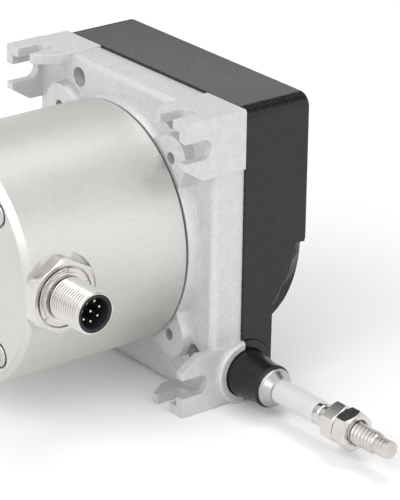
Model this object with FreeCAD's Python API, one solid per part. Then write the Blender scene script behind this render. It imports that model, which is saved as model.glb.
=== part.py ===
import FreeCAD, Part
import math
import os

os.makedirs("parts", exist_ok=True)

# Draw wire encoder: a cast housing with corner ears, a wire drum inside it, a moulded spring
# cover on one side, a rotary encoder on the other, and a wire that leaves at a lower corner.
# Lengths are in millimetres. X runs along the drum axis towards the spring cover, and X = 0 is
# the split plane between housing and cover. The wire leaves towards -Y. Z is up from the base.

V = FreeCAD.Vector
X_AXIS = V(1, 0, 0)
Y_AXIS = V(0, 1, 0)
Z_AXIS = V(0, 0, 1)

# Housing outline
half_width = 41.35
height = 85.0
body_depth = 10.0
pad_step = 0.7
pad_reach = 17.0
body_edge_radius = 2.0
corner_edge_radius = 0.8

# Corner ears with open slots for M5 screws
ear_reach = 20.6
ear_thickness = 2.8
ear_tip_width = 13.2
ear_taper_start = 14.6
slot_width = 5.5
slot_offset = 8.4
slot_end = 11.8

# Drum axis, which follows the wire's exit height and the drum that fits the housing
exit_z = 8.6
drum_side_wall = 3.15
drum_rim_room = 3.2
drum_flange_rise = 1.8
cassette_gap = 0.2
drum_space_radius = min((height - exit_z) / 2, half_width - drum_side_wall)
drum_pitch_radius = drum_space_radius - drum_rim_room
axis_z = exit_z + drum_pitch_radius
drum_flange_radius = drum_pitch_radius + drum_flange_rise
cassette_radius = drum_space_radius - cassette_gap

# Boss and lobes that carry the encoder
boss_face = 13.56
boss_radius = 34.4
boss_draft = 0.75
pilot_radius = 30.5
pilot_depth = 3.0
lobe_offset = 25.8
lobe_radius = 6.5
lobe_flank_angle = 18.6
lobe_draft = 0.5
lobe_hole_radius = 1.65

# Cover screws in counterbores on the encoder side
screw_bore_radius = 1.7
screw_head_bore_radius = 2.8
screw_head_bore_depth = 5.0
screw_top_spread = 21.2
screw_top_inset = 6.5
screw_low_inset = 8.75
screw_low_height = 13.4
screw_head_radius = 2.65
screw_head_height = 2.4
screw_radius = 1.5
screw_reach = 6.5
screw_socket_flats = 2.2
screw_socket_depth = 1.4
screw_boss_wall = 1.5

# Drum space inside the housing
drum_space_depth = 6.8

# Spring cover
cover_wall = 2.5
cover_step = 10.05
cover_depth_top = 21.9
cover_depth_drum = 21.3
cover_corner_radius = 5.5
cover_end_radius = 0.8
cover_cone_start_radius = 44.6
cover_cone_end_radius = 40.4
cover_cone_start = 10.5
cover_cone_end = 19.6
cover_ledge_drop = 1.4
cover_drum_edge_radius = 0.7

# Wire, drum and winding
wire_radius = 0.275
wire_pitch = 0.7
measuring_length = 3000.0
wire_exit_x = 0.6
drum_flange_thickness = 1.2
drum_rim_thickness = 2.4
drum_hub_radius = 9.5
drum_web_thickness = 2.2
drum_window_radius = 6.5
drum_window_circle = 21.5
drum_window_count = 4

# Shafts and bearings
shaft_radius = 5.0
shaft_end_radius = 4.0
shaft_front = 12.4
shaft_step = 15.0
shaft_end = 19.3
running_clearance = 0.02
seat_clearance = 0.05
front_bearing_radius = 11.0
front_bearing_width = 6.0
front_bearing_start = -10.4
rear_bearing_radius = 8.0
rear_bearing_width = 4.0
rear_bearing_start = 15.5
bearing_ring_wall = 1.9
shield_gap = 0.1
encoder_bearing_radius = 7.5
encoder_bearing_width = 5.0
encoder_shaft_radius = 3.0
encoder_shaft_back = 35.0
encoder_shaft_front = 6.0
ring_groove_depth = 0.6
ring_height = 1.3
ring_thickness = 1.0

# Spiral spring and its cassette
cassette_start = 7.7
cassette_plate = 1.4
cassette_wall = 1.2
cassette_bore = 6.5
spring_width = 7.8
spring_strip = 0.6
spring_turns = 6
spring_turn_steps = 20
spring_outer_gap = 0.3
spring_arbor_radius = 12.6
arbor_rim_wall = 1.4
part_gap = 0.3

# Encoder
encoder_radius = 34.45
encoder_start = 14.26
encoder_end = 66.1
can_wall = 3.0
end_cap_thickness = 1.8
end_cap_chamfer = 1.7
end_cap_spigot = 1.5
end_cap_spigot_wall = 3.0
seal_recess = 0.7
seal_width = 2.0
encoder_flange_thickness = 5.8
encoder_hub_radius = 11.5
encoder_hub_length = 10.5
tie_bolt_circle_radius = 28.5
tie_bolt_radius = 1.5
tie_bolt_head_radius = 3.2
tie_bolt_head_height = 1.0
tie_bolt_thread = 4.0
tie_bolt_socket_flats = 2.5
tie_bolt_sink = 0.6
board_radius = 24.5
board_thickness = 1.6
board_offset = 18.0
standoff_circle_radius = 21.0
standoff_radius = 2.5
standoff_count = 3
standoff_start_angle = 30.0
board_screw_radius = 1.2
board_screw_length = 6.0
board_screw_head_radius = 2.4
board_screw_head_height = 1.6
board_hole_gap = 0.4
disc_radius = 17.0
disc_thickness = 1.0
disc_hub_radius = 5.5
disc_hub_length = 3.5
reader_size = 9.0
flange_screw_circle_radius = 20.0
flange_screw_radius = 1.5
flange_screw_head_radius = 2.75
flange_screw_head_height = 1.8
flange_screw_count = 3
flange_screw_depth = 9.0

# Connector, a round socket with an M12 thread
connector_from_end = 9.8
connector_reach = 17.46
connector_length = 26.3
connector_thread_radius = 6.0
connector_neck_radius = 5.6
connector_rim_radius = 5.6
connector_socket_radius = 4.75
connector_socket_depth = 8.0
connector_body_radius = 5.0
connector_nut_flats = 19.4
connector_nut_turn = 30.0
connector_nut_corner_radius = 10.8
connector_nut_height = 4.0
connector_recess_radius = 8.5
connector_recess_depth = 1.2
connector_ring_radius = 8.1
connector_ring_step_radius = 7.0
connector_ring_height = 1.4
connector_ring_step_height = 0.7
spotface_radius = 11.6
spotface_runout = 10.4
pin_radius = 0.5
pin_circle_radius = 2.75
pin_count = 7
pin_recess = 1.0
insert_recess = 0.1
insert_setback = 2.0
socket_floor = 2.0
shell_wall = 1.0
key_width = 1.0
key_height = 0.7
key_recess = 0.4
key_root = 0.5

# Gland, nozzle and guide at the wire exit
collar_outer_radius = 9.4
collar_inner_radius = 7.0
collar_height = 1.4
collar_bevel = 0.6
collar_overrun = 0.4
cover_ridge_height = 0.7
gland_radius = 6.7
gland_neck_radius = 5.75
gland_bead_radius = 6.1
gland_bead_length = 2.2
gland_bead_slope = 0.7
gland_tip_round = 0.6
gland_seat_depth = 4.95
gland_collar_length = 3.65
gland_reach = 13.15
gland_bore_radius = 4.3
gland_bore_depth = 6.5
gland_back_bore_radius = 2.4
nozzle_flange_radius = 5.55
nozzle_flange_height = 0.7
nozzle_tip_radius = 3.5
nozzle_length = 3.0
nozzle_bore_radius = 0.65
guide_radius = 2.4
guide_length = 5.0
guide_flare = 0.8
wire_channel_radius = 2.45

# Wire end
stop_gap = 0.1
sleeve_radius = 3.4
sleeve_length = 16.8
sleeve_bore_radius = 1.65
ferrule_radius = 1.55
ferrule_length = 9.0
ferrule_bore_radius = 0.29
stud_shank_length = 5.0
stud_collar_radius = 3.3
stud_collar_height = 0.9
stud_neck_radius = 2.6
stud_neck_length = 5.6
stud_neck_ridge = 0.7
stud_hex_flats = 10.0
stud_hex_turn = 26.0
stud_hex_height = 4.5
stud_radius = 3.0
stud_root_radius = 2.7
stud_tip_radius = 2.6
stud_tip_length = 4.8
stud_length = 18.2
stud_chamfer = 0.5
nut_flats = 10.0
nut_turn = 15.0
nut_height = 5.0
nut_gap = 0.1
nut_chamfer = 0.6
nut_mouth = 0.8

# Values worked out from the sizes above
mid_z = height / 2
screw_places = [(side * screw_top_spread, height - screw_top_inset) for side in (1, -1)]
screw_places += [(side * (half_width - screw_low_inset), screw_low_height) for side in (1, -1)]
gland_back = half_width - gland_seat_depth
gland_taper_start = half_width + gland_collar_length
gland_end = half_width + gland_reach
nozzle_end = gland_end + nozzle_length
drum_turns = measuring_length / (2 * math.pi * drum_pitch_radius)
winding_half_width = drum_turns * wire_pitch / 2
drum_surface_radius = drum_pitch_radius - wire_radius
drum_front = wire_exit_x - winding_half_width - wire_radius - drum_flange_thickness
drum_back = wire_exit_x + winding_half_width + wire_radius + drum_flange_thickness
nut_seat_y = -math.sqrt(encoder_radius ** 2 - spotface_runout ** 2)
connector_x = -encoder_end + connector_from_end
connector_face = -nut_seat_y + connector_reach
connector_back = connector_face - connector_length


def cylinder_x(x0, x1, radius, y=0.0, z=axis_z):
    """Solid cylinder along X between two stations."""
    return Part.makeCylinder(radius, x1 - x0, V(x0, y, z), X_AXIS)


def tube_x(x0, x1, outer, inner, y=0.0, z=axis_z):
    """Tube along X between two stations."""
    return cylinder_x(x0, x1, outer, y, z).cut(cylinder_x(x0 - 1, x1 + 1, inner, y, z))


def cylinder_out(y0, y1, radius, x, z):
    """Solid cylinder along -Y; y0 and y1 are distances in front of the centre plane."""
    return Part.makeCylinder(radius, y1 - y0, V(x, -y0, z), -Y_AXIS)


def polygon(points):
    """Flat face from corner points."""
    return Part.Face(Part.makePolygon(list(points) + [points[0]]))


def revolve_x(profile, y=0.0, z=axis_z):
    """Turned part about an X axis, from (x, radius) points."""
    face = polygon([V(x, y, z + radius) for x, radius in profile])
    return face.revolve(V(0, y, z), X_AXIS, 360)


def revolve_out(profile, x, z):
    """Turned part about an axis along -Y, from (distance in front, radius) points."""
    face = polygon([V(x, -reach, z + radius) for reach, radius in profile])
    return face.revolve(V(x, 0, z), Y_AXIS, 360)


def hexagon_out(y0, y1, flats, x, z, turn=0.0):
    """Hexagonal prism along -Y; turn is in degrees."""
    corner = flats / math.sqrt(3)
    angles = [math.radians(turn + 60 * i) for i in range(6)]
    points = [V(x + corner * math.cos(a), -y0, z + corner * math.sin(a)) for a in angles]
    return polygon(points).extrude(V(0, y0 - y1, 0))


def chamfered_hex(y0, y1, flats, chamfer, x, z, turn=0.0):
    """Hexagonal nut blank with both ends turned down at the corners."""
    corner = flats / math.sqrt(3)
    side = chamfer * math.tan(math.radians(30))
    profile = [(y0, 0), (y0, corner - chamfer), (y0 + side, corner), (y1 - side, corner),
               (y1, corner - chamfer), (y1, 0)]
    return hexagon_out(y0, y1, flats, x, z, turn).common(revolve_out(profile, x, z))


def around(count, radius, start=0.0):
    """Places (y, z) spaced evenly about the drum axis."""
    places = []
    for i in range(count):
        angle = math.radians(start + 360.0 * i / count)
        places.append((radius * math.cos(angle), axis_z + radius * math.sin(angle)))
    return places


def fuse(shapes):
    """One solid from overlapping shapes."""
    joined = shapes[0].multiFuse(shapes[1:]) if len(shapes) > 1 else shapes[0]
    return joined.removeSplitter()


def save(name, shape):
    """Write one sub-part."""
    shape.exportStep("parts/" + name + ".step")


def corner_point(side, end, x, inward_y, inward_z):
    """Point at a housing corner; side and end are -1 or 1, the insets run inwards."""
    return V(x, side * (half_width - inward_y), mid_z + end * (height / 2 - inward_z))


CORNERS = [(side, end) for side in (-1, 1) for end in (-1, 1)]


# Housing

def ear_plate(side, end, flat_on_side):
    """One slotted plate of an ear, on the side face or on the top or bottom face."""
    def place(x, along, depth):
        if flat_on_side:
            return corner_point(side, end, x, depth, along)
        return corner_point(side, end, x, along, depth)

    root = -body_depth + 1
    outline = [(root, 0), (-ear_reach, 0), (-ear_reach, ear_tip_width),
               (-ear_taper_start, pad_reach), (root, pad_reach)]
    inwards = place(0, 0, ear_thickness) - place(0, 0, 0)
    plate = polygon([place(x, along, 0) for x, along in outline]).extrude(inwards)
    half = slot_width / 2
    straight_end = -slot_end - half
    mouth = -ear_reach - 1
    outwards = -inwards.normalize()
    near = [place(mouth, slot_offset - half, 0), place(straight_end, slot_offset - half, 0)]
    far = [place(straight_end, slot_offset + half, 0), place(mouth, slot_offset + half, 0)]
    crown = Part.Arc(near[1], place(-slot_end, slot_offset, 0), far[0]).toShape()
    edges = [Part.makeLine(near[0], near[1]), crown, Part.makeLine(far[0], far[1]),
             Part.makeLine(far[1], near[0])]
    slot = Part.Face(Part.Wire(edges)).extrude(-outwards * (ear_thickness + 2))
    slot.translate(outwards)
    return plate.cut(slot)


def lobe_wire(x, grow):
    """Outline of the upper right lobe in the plane x, grown sideways by its draft."""
    radius = lobe_radius + grow
    centre = V(x, lobe_offset, axis_z + lobe_offset)
    outward = V(0, 1, 1).normalize()
    across = V(0, -1, 1).normalize()
    flank = math.radians(lobe_flank_angle)
    inner_length = lobe_offset * 0.6

    def flank_points(sign):
        tangent = centre + across * (sign * radius * math.cos(flank)) + outward * radius * math.sin(flank)
        run = -outward * math.cos(flank) + across * (sign * math.sin(flank))
        return tangent, tangent + run * inner_length

    start, start_inner = flank_points(1)
    finish, finish_inner = flank_points(-1)
    crown = Part.Arc(start, centre + outward * radius, finish).toShape()
    return Part.Wire([Part.makeLine(start_inner, start), crown, Part.makeLine(finish, finish_inner),
                      Part.makeLine(finish_inner, start_inner)])


def lobe_pair(x0, x1):
    """All four lobes: one drafted loft, turned about the drum axis."""
    lobe = Part.makeLoft([lobe_wire(x0, lobe_draft), lobe_wire(x1, 0)], True)
    lobes = []
    for i in range(4):
        copy = lobe.copy()
        copy.rotate(V(0, 0, axis_z), X_AXIS, 90 * i)
        lobes.append(copy)
    return lobes


def collar(height_out, x_low, x_high):
    """Ring round the wire exit on the front face, kept between two X stations."""
    face_y = half_width
    profile = [(face_y - 2, collar_inner_radius), (face_y - 2, collar_outer_radius),
               (face_y + height_out - collar_bevel, collar_outer_radius),
               (face_y + height_out, collar_outer_radius - collar_bevel),
               (face_y + height_out, collar_inner_radius)]
    ring = revolve_out(profile, wire_exit_x, exit_z)
    keep = Part.makeBox(x_high - x_low, 10, height, V(x_low, -face_y - 5, 0))
    return ring.common(keep)


def make_housing():
    """Cast body with corner pads, ears, encoder boss and lobes, hollowed for the drum."""
    core = Part.makeBox(body_depth, 2 * (half_width - pad_step), height - 2 * pad_step,
                        V(-body_depth, -half_width + pad_step, pad_step))
    rim = [e for e in core.Edges if abs(e.CenterOfMass.x + body_depth) < 0.01]
    parts = [core.makeFillet(body_edge_radius, rim)]
    for side, end in CORNERS:
        low = corner_point(side, end, -body_depth, 0, 0)
        high = corner_point(side, end, 0, pad_reach, pad_reach)
        pad = Part.makeBox(body_depth, pad_reach, pad_reach,
                           V(-body_depth, min(low.y, high.y), min(low.z, high.z)))
        outer = [e for e in pad.Edges if abs(e.CenterOfMass.y - low.y) < 0.01
                 and abs(e.CenterOfMass.z - low.z) < 0.01]
        parts.append(pad.makeFillet(corner_edge_radius, outer))
        parts.append(ear_plate(side, end, True))
        parts.append(ear_plate(side, end, False))
    boss = Part.makeCone(boss_radius + boss_draft, boss_radius, boss_face - body_depth + 1,
                         V(-body_depth + 1, 0, axis_z), -X_AXIS)
    parts.append(boss)
    parts.extend(lobe_pair(-body_depth + 1, -boss_face))
    parts.append(collar(collar_height, -collar_outer_radius, 0.0))
    body = fuse(parts)
    hub_outer = front_bearing_radius + 2.5
    front_bearing_end = front_bearing_start + front_bearing_width
    drum_space = cylinder_x(-drum_space_depth, 1, drum_space_radius)
    drum_space = drum_space.cut(cylinder_x(-drum_space_depth - 1, front_bearing_end, hub_outer))
    cuts = [drum_space,
            cylinder_x(-boss_face - 1, -boss_face + pilot_depth, pilot_radius),
            cylinder_x(front_bearing_start, front_bearing_end + 1, front_bearing_radius),
            cylinder_x(-boss_face, front_bearing_start + 1, shaft_radius + 1.5)]
    for y, z in screw_places:
        cuts.append(cylinder_x(-body_depth - 1, -body_depth + screw_head_bore_depth,
                               screw_head_bore_radius, y, z))
        cuts.append(cylinder_x(-body_depth, 1, screw_bore_radius, y, z))
    for i in range(4):
        hole = cylinder_x(-boss_face - 1, -drum_space_depth - 1, lobe_hole_radius,
                          lobe_offset, axis_z + lobe_offset)
        hole.rotate(V(0, 0, axis_z), X_AXIS, 90 * i)
        cuts.append(hole)
    floor_screw_seat = -drum_space_depth - flange_screw_head_height
    for y, z in around(flange_screw_count, flange_screw_circle_radius, 90):
        cuts.append(cylinder_x(floor_screw_seat, 0, flange_screw_head_radius + 0.15, y, z))
        cuts.append(cylinder_x(-boss_face, floor_screw_seat + 1, flange_screw_radius + 0.15, y, z))
    cuts.append(cylinder_out(gland_back, half_width + 5, gland_radius + seat_clearance,
                             wire_exit_x, exit_z))
    cuts.append(cylinder_out(0, gland_back + 1, wire_channel_radius, wire_exit_x, exit_z))
    return body.cut(Part.makeCompound(cuts)).removeSplitter()


# Spring cover

def cover_shape(inset, x0):
    """Filled form of the cover, inset on every side; the shell is the form less its inset."""
    width = half_width - inset
    end_x = cover_depth_top - inset
    drum_end = cover_depth_drum - inset
    ledge = axis_z + inset
    ledge_foot = ledge - cover_ledge_drop
    top = Part.makeBox(end_x - x0, 2 * width, height - inset - ledge_foot, V(x0, -width, ledge_foot))
    crowns = [e for e in top.Edges if abs(e.CenterOfMass.z - height + inset) < 0.01
              and abs(abs(e.CenterOfMass.y) - width) < 0.01]
    top = top.makeFillet(max(cover_corner_radius - inset, 1.0), crowns)
    rim = [e for e in top.Edges if abs(e.BoundBox.XMin - end_x) < 0.01
           and abs(e.BoundBox.XMax - end_x) < 0.01 and e.CenterOfMass.z > ledge_foot + 1]
    top = top.makeFillet(max(cover_end_radius - inset / 2, 0.8), rim)
    below = polygon([V(drum_end, -width - 1, ledge_foot), V(end_x, -width - 1, ledge),
                     V(end_x + 1, -width - 1, ledge), V(end_x + 1, -width - 1, ledge_foot - 1),
                     V(drum_end, -width - 1, ledge_foot - 1)])
    top = top.cut(below.extrude(V(0, 2 * width + 2, 0)))
    base = Part.makeBox(cover_step - inset - x0, 2 * width, height / 2, V(x0, -width, inset))
    feet = [e for e in base.Edges if abs(e.CenterOfMass.z - inset) < 0.01
            and abs(abs(e.CenterOfMass.y) - width) < 0.01]
    base = base.makeFillet(max(cover_corner_radius / 2 - inset, 0.5), feet)
    cone_slope = (cover_cone_start_radius - cover_cone_end_radius) / (cover_cone_end - cover_cone_start)
    start_radius = cover_cone_start_radius - inset + cone_slope * (cover_cone_start - x0)
    end_radius = start_radius - cone_slope * (drum_end - x0)
    drum = Part.makeCone(start_radius, end_radius, drum_end - x0, V(x0, 0, axis_z), X_AXIS)
    drum_rim = [e for e in drum.Edges if abs(e.BoundBox.XMin - drum_end) < 0.01]
    drum = drum.makeFillet(max(cover_drum_edge_radius - inset / 2, 0.5), drum_rim)
    square = Part.makeBox(drum_end - x0, 2 * width, ledge - inset, V(x0, -width, inset))
    return fuse([top, base, drum.common(square)])


def make_cover():
    """Moulded shell with screw bosses, the rear bearing boss and half of the gland seat."""
    shell = cover_shape(0, 0).cut(cover_shape(cover_wall, -1))
    inner_end = cover_depth_drum - cover_wall
    parts = [shell]
    room = cover_shape(cover_wall / 2, 0)
    for y, z in screw_places:
        screw_boss = cylinder_x(0, cover_depth_top, screw_radius + screw_boss_wall, y, z)
        parts.append(screw_boss.common(room))
    parts.append(cylinder_x(rear_bearing_start, cover_depth_drum - cover_wall / 2,
                            rear_bearing_radius + 2.5))
    parts.append(collar(cover_ridge_height, 0, collar_outer_radius + wire_exit_x))
    gland_block = Part.makeBox(collar_outer_radius, half_width - gland_back - cover_wall / 2,
                               2 * gland_radius, V(0, -half_width + cover_wall / 2, exit_z - gland_radius + 1))
    parts.append(gland_block.common(room))
    body = fuse(parts)
    cuts = [cylinder_x(rear_bearing_start - 1, rear_bearing_start + rear_bearing_width,
                       rear_bearing_radius),
            cylinder_out(gland_back, half_width + 5, gland_radius + seat_clearance,
                         wire_exit_x, exit_z),
            cylinder_out(0, gland_back + 1, wire_channel_radius, wire_exit_x, exit_z),
            cylinder_x(-1, cassette_start, drum_flange_radius + 0.9),
            cylinder_x(cassette_start, inner_end, cassette_radius + seat_clearance).cut(
                cylinder_x(cassette_start, inner_end + 1, rear_bearing_radius + 2.5))]
    for y, z in screw_places:
        cuts.append(cylinder_x(-1, screw_reach + 1, screw_radius + seat_clearance, y, z))
    return body.cut(Part.makeCompound(cuts)).removeSplitter()


def make_cover_screws():
    """Four pan-head screws that pull the cover to the housing."""
    seat = -body_depth + screw_head_bore_depth
    screws = []
    for y, z in screw_places:
        head = cylinder_x(seat - screw_head_height, seat, screw_head_radius, y, z)
        shank = cylinder_x(seat, screw_reach, screw_radius, y, z)
        socket = hexagon_x(seat - screw_head_height - 1, seat - screw_head_height + screw_socket_depth,
                           screw_socket_flats, y, z)
        screws.append(fuse([head, shank]).cut(socket))
    return Part.makeCompound(screws)


def hexagon_x(x0, x1, flats, y, z):
    """Hexagonal prism along X."""
    corner = flats / math.sqrt(3)
    angles = [math.radians(60 * i) for i in range(6)]
    points = [V(x0, y + corner * math.cos(a), z + corner * math.sin(a)) for a in angles]
    return polygon(points).extrude(V(x1 - x0, 0, 0))


# Drum, winding, shafts and bearings

def make_drum():
    """Wire drum: flanged rim, web with round windows, hub on the shaft."""
    rim_inner = drum_surface_radius - drum_rim_thickness
    web_front = -drum_web_thickness / 2
    web_back = drum_web_thickness / 2
    bore = shaft_radius
    profile = [(drum_front, rim_inner), (drum_front, drum_flange_radius),
               (drum_front + drum_flange_thickness, drum_flange_radius),
               (drum_front + drum_flange_thickness, drum_surface_radius),
               (drum_back - drum_flange_thickness, drum_surface_radius),
               (drum_back - drum_flange_thickness, drum_flange_radius),
               (drum_back, drum_flange_radius), (drum_back, rim_inner),
               (web_back, rim_inner), (web_back, drum_hub_radius),
               (drum_back, drum_hub_radius), (drum_back, bore),
               (front_bearing_start + front_bearing_width + part_gap, bore),
               (front_bearing_start + front_bearing_width + part_gap, drum_hub_radius),
               (web_front, drum_hub_radius), (web_front, rim_inner)]
    drum = revolve_x(profile)
    windows = [cylinder_x(web_front - 1, web_back + 1, drum_window_radius, y, z)
               for y, z in around(drum_window_count, drum_window_circle)]
    return drum.cut(Part.makeCompound(windows))


def make_winding():
    """The wire wound on the drum in one layer, as a sleeve of its outer shape."""
    low = wire_exit_x - winding_half_width
    high = wire_exit_x + winding_half_width
    return tube_x(low, high, drum_pitch_radius + wire_radius, drum_surface_radius)


def make_drum_shaft():
    """Stepped shaft with a bore at the front for the encoder shaft and two ring grooves."""
    groove = shaft_radius - ring_groove_depth
    front_ring = front_bearing_start - ring_thickness
    profile = [(-shaft_front, 0), (-shaft_front, shaft_radius), (front_ring, shaft_radius),
               (front_ring, groove), (front_bearing_start, groove),
               (front_bearing_start, shaft_radius), (shaft_step, shaft_radius),
               (shaft_step, shaft_end_radius), (shaft_end, shaft_end_radius), (shaft_end, 0)]
    bore = cylinder_x(-shaft_front - 1, -encoder_shaft_front + part_gap,
                      encoder_shaft_radius + seat_clearance)
    return revolve_x(profile).cut(bore)


def make_retaining_ring():
    """Ring in the shaft groove, open on one side, against the front bearing."""
    start = front_bearing_start - ring_thickness
    outer = shaft_radius + ring_height
    ring = tube_x(start, front_bearing_start, outer, shaft_radius - ring_groove_depth)
    gap = Part.makeBox(ring_thickness + 2, 2.4, outer + 1, V(start - 1, -1.2, axis_z))
    return ring.cut(gap)


def bearing_outer(start, width, outer, inner_ring_outer):
    """Outer ring of a shielded bearing, with its shields down to the inner ring."""
    return tube_x(start, start + width, outer, inner_ring_outer + shield_gap)


BEARINGS = {
    "drum_front_bearing": (front_bearing_start, front_bearing_width, front_bearing_radius, shaft_radius),
    "drum_rear_bearing": (rear_bearing_start, rear_bearing_width, rear_bearing_radius, shaft_end_radius),
}


def make_bearings():
    """Outer and inner ring of each drum bearing and of the two encoder bearings."""
    shapes = {}
    for name, (start, width, outer, bore) in BEARINGS.items():
        inner_outer = bore + bearing_ring_wall
        shapes[name + "_outer"] = bearing_outer(start, width, outer, inner_outer)
        shapes[name + "_inner"] = tube_x(start, start + width, inner_outer, bore)
    bore = encoder_shaft_radius
    inner_outer = bore + bearing_ring_wall
    outers = []
    inners = []
    for start in encoder_bearing_starts():
        outers.append(bearing_outer(start, encoder_bearing_width, encoder_bearing_radius, inner_outer))
        inners.append(tube_x(start, start + encoder_bearing_width, inner_outer, bore))
    shapes["encoder_bearings_outer"] = Part.makeCompound(outers)
    shapes["encoder_bearings_inner"] = Part.makeCompound(inners)
    return shapes


def encoder_bearing_starts():
    """Front stations of the two bearings in the encoder's hub."""
    hub_end = -encoder_start - encoder_flange_thickness - encoder_hub_length
    first = -encoder_start - encoder_bearing_width - 1.5
    return (first, hub_end)


# Spring side

def make_spring_cassette():
    """Shallow cup behind the drum that holds the spiral spring."""
    end = cover_depth_drum - cover_wall - seat_clearance
    inner = cassette_radius - cassette_wall
    return revolve_x([(cassette_start, cassette_bore), (cassette_start, cassette_radius),
                      (end, cassette_radius), (end, inner),
                      (cassette_start + cassette_plate, inner),
                      (cassette_start + cassette_plate, cassette_bore)])


def spring_start():
    """Station where the spring strip starts."""
    return cassette_start + cassette_plate + part_gap


def make_spring_arbor():
    """Arbor on the drum shaft that the inner end of the spring is hooked to."""
    start = spring_start()
    end = start + spring_width
    web_end = rear_bearing_start - part_gap
    rim = spring_arbor_radius - arbor_rim_wall
    return revolve_x([(start, shaft_radius), (start, spring_arbor_radius), (end, spring_arbor_radius),
                      (end, rim), (web_end, rim), (web_end, shaft_radius)])


def make_spiral_spring():
    """Flat strip wound in a spiral between the arbor and the cassette wall."""
    inner = spring_arbor_radius + part_gap + spring_strip / 2
    outer = cassette_radius - cassette_wall - spring_outer_gap - spring_strip / 2
    steps = spring_turn_steps * spring_turns

    def spiral(offset):
        points = []
        for i in range(steps + 1):
            angle = 2 * math.pi * i / spring_turn_steps
            radius = inner + (outer - inner) * i / steps + offset
            points.append(V(spring_start(), radius * math.cos(angle), axis_z + radius * math.sin(angle)))
        return points

    outline = spiral(-spring_strip / 2) + spiral(spring_strip / 2)[::-1]
    return polygon(outline).extrude(V(spring_width, 0, 0))


# Encoder

def spotface():
    """Milled flat under the connector nut, through can and end cap."""
    flat = cylinder_out(-nut_seat_y, encoder_radius + 5, spotface_radius, connector_x, axis_z)
    flat.rotate(V(connector_x, 0, axis_z), Y_AXIS, 90)
    return flat


def make_encoder_can():
    """Round can of the encoder, with the connector's flat and hole."""
    back = -encoder_end + end_cap_thickness
    can = tube_x(back, -encoder_start, encoder_radius, encoder_radius - can_wall)
    hole = cylinder_out(0, encoder_radius + 5, connector_body_radius + 1, connector_x, axis_z)
    return can.cut(spotface()).cut(hole)


def make_encoder_cap():
    """End cap with a turned chamfer, a spigot and sunk seats for the tie bolts."""
    back = -encoder_end
    front = back + end_cap_thickness
    spigot = encoder_radius - can_wall - seat_clearance
    profile = [(back, 0), (back, encoder_radius - end_cap_chamfer),
               (back + end_cap_chamfer, encoder_radius), (front, encoder_radius),
               (front, spigot), (front + end_cap_spigot, spigot),
               (front + end_cap_spigot, spigot - end_cap_spigot_wall),
               (front, spigot - end_cap_spigot_wall), (front, 0)]
    cap = revolve_x(profile)
    cuts = [spotface()]
    for y, z in around(4, tie_bolt_circle_radius, 45):
        cuts.append(cylinder_x(back - 1, front + end_cap_spigot + 1, tie_bolt_radius + 0.15, y, z))
        cuts.append(cylinder_x(back - 1, back + tie_bolt_sink, tie_bolt_head_radius + 0.15, y, z))
    return cap.cut(Part.makeCompound(cuts))


def make_encoder_flange():
    """Front flange of the encoder: pilot in the housing, hub for the bearings."""
    front = -boss_face + pilot_depth - part_gap
    start = -encoder_start
    back = start - encoder_flange_thickness
    hub_back = back - encoder_hub_length
    outer = encoder_radius - can_wall - seat_clearance
    pilot = pilot_radius - seat_clearance
    profile = [(front, 0), (front, pilot), (start, pilot), (start, outer), (back, outer),
               (back, encoder_hub_radius), (hub_back, encoder_hub_radius), (hub_back, 0)]
    body = revolve_x(profile)
    first, second = encoder_bearing_starts()
    cuts = [cylinder_x(first, 0, encoder_bearing_radius),
            cylinder_x(hub_back - 1, second + encoder_bearing_width, encoder_bearing_radius),
            cylinder_x(hub_back - 1, 0, encoder_shaft_radius + bearing_ring_wall + 0.6)]
    for y, z in around(4, tie_bolt_circle_radius, 45):
        cuts.append(cylinder_x(back - 1, back + tie_bolt_thread + 0.5, tie_bolt_radius + seat_clearance,
                               y, z))
    for y, z in around(flange_screw_count, flange_screw_circle_radius, 90):
        cuts.append(cylinder_x(front - flange_screw_depth + 3, front + 1,
                               flange_screw_radius + seat_clearance, y, z))
    return body.cut(Part.makeCompound(cuts)).removeSplitter()


def make_encoder_seal():
    """Sealing ring in the narrow groove between boss and can."""
    outer = encoder_radius - seal_recess
    return tube_x(-encoder_start, -boss_face, outer, outer - seal_width)


def make_flange_screws():
    """Screws from the drum space that hold the encoder flange."""
    top = -drum_space_depth
    seat = top - flange_screw_head_height
    tip = -boss_face + pilot_depth - part_gap - flange_screw_depth + 3.5
    screws = []
    for y, z in around(flange_screw_count, flange_screw_circle_radius, 90):
        head = cylinder_x(seat, top, flange_screw_head_radius, y, z)
        screws.append(fuse([cylinder_x(tip, seat, flange_screw_radius, y, z), head]))
    return Part.makeCompound(screws)


def make_tie_bolts():
    """Four long bolts that pull cap, can and flange together."""
    seat = -encoder_end + tie_bolt_sink
    top = seat - tie_bolt_head_height
    tip = -encoder_start - encoder_flange_thickness + tie_bolt_thread
    bolts = []
    for y, z in around(4, tie_bolt_circle_radius, 45):
        bolt = fuse([cylinder_x(top, seat, tie_bolt_head_radius, y, z),
                     cylinder_x(seat, tip, tie_bolt_radius, y, z)])
        bolts.append(bolt.cut(hexagon_x(top - 1, seat, tie_bolt_socket_flats, y, z)))
    return Part.makeCompound(bolts)


def make_encoder_shaft():
    """Encoder shaft, clamped in the bore of the drum shaft."""
    return cylinder_x(-encoder_shaft_back, -encoder_shaft_front, encoder_shaft_radius)


def make_code_disc():
    """Code disc on its hub at the back end of the encoder shaft."""
    hub_end = -encoder_start - encoder_flange_thickness - encoder_hub_length - part_gap
    hub_start = hub_end - disc_hub_length
    disc_end = hub_start + disc_thickness
    return revolve_x([(hub_start, encoder_shaft_radius), (hub_start, disc_radius), (disc_end, disc_radius),
                      (disc_end, disc_hub_radius), (hub_end, disc_hub_radius),
                      (hub_end, encoder_shaft_radius)])


def board_face():
    """Station of the board's face towards the disc."""
    return -encoder_start - encoder_flange_thickness - board_offset


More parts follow.
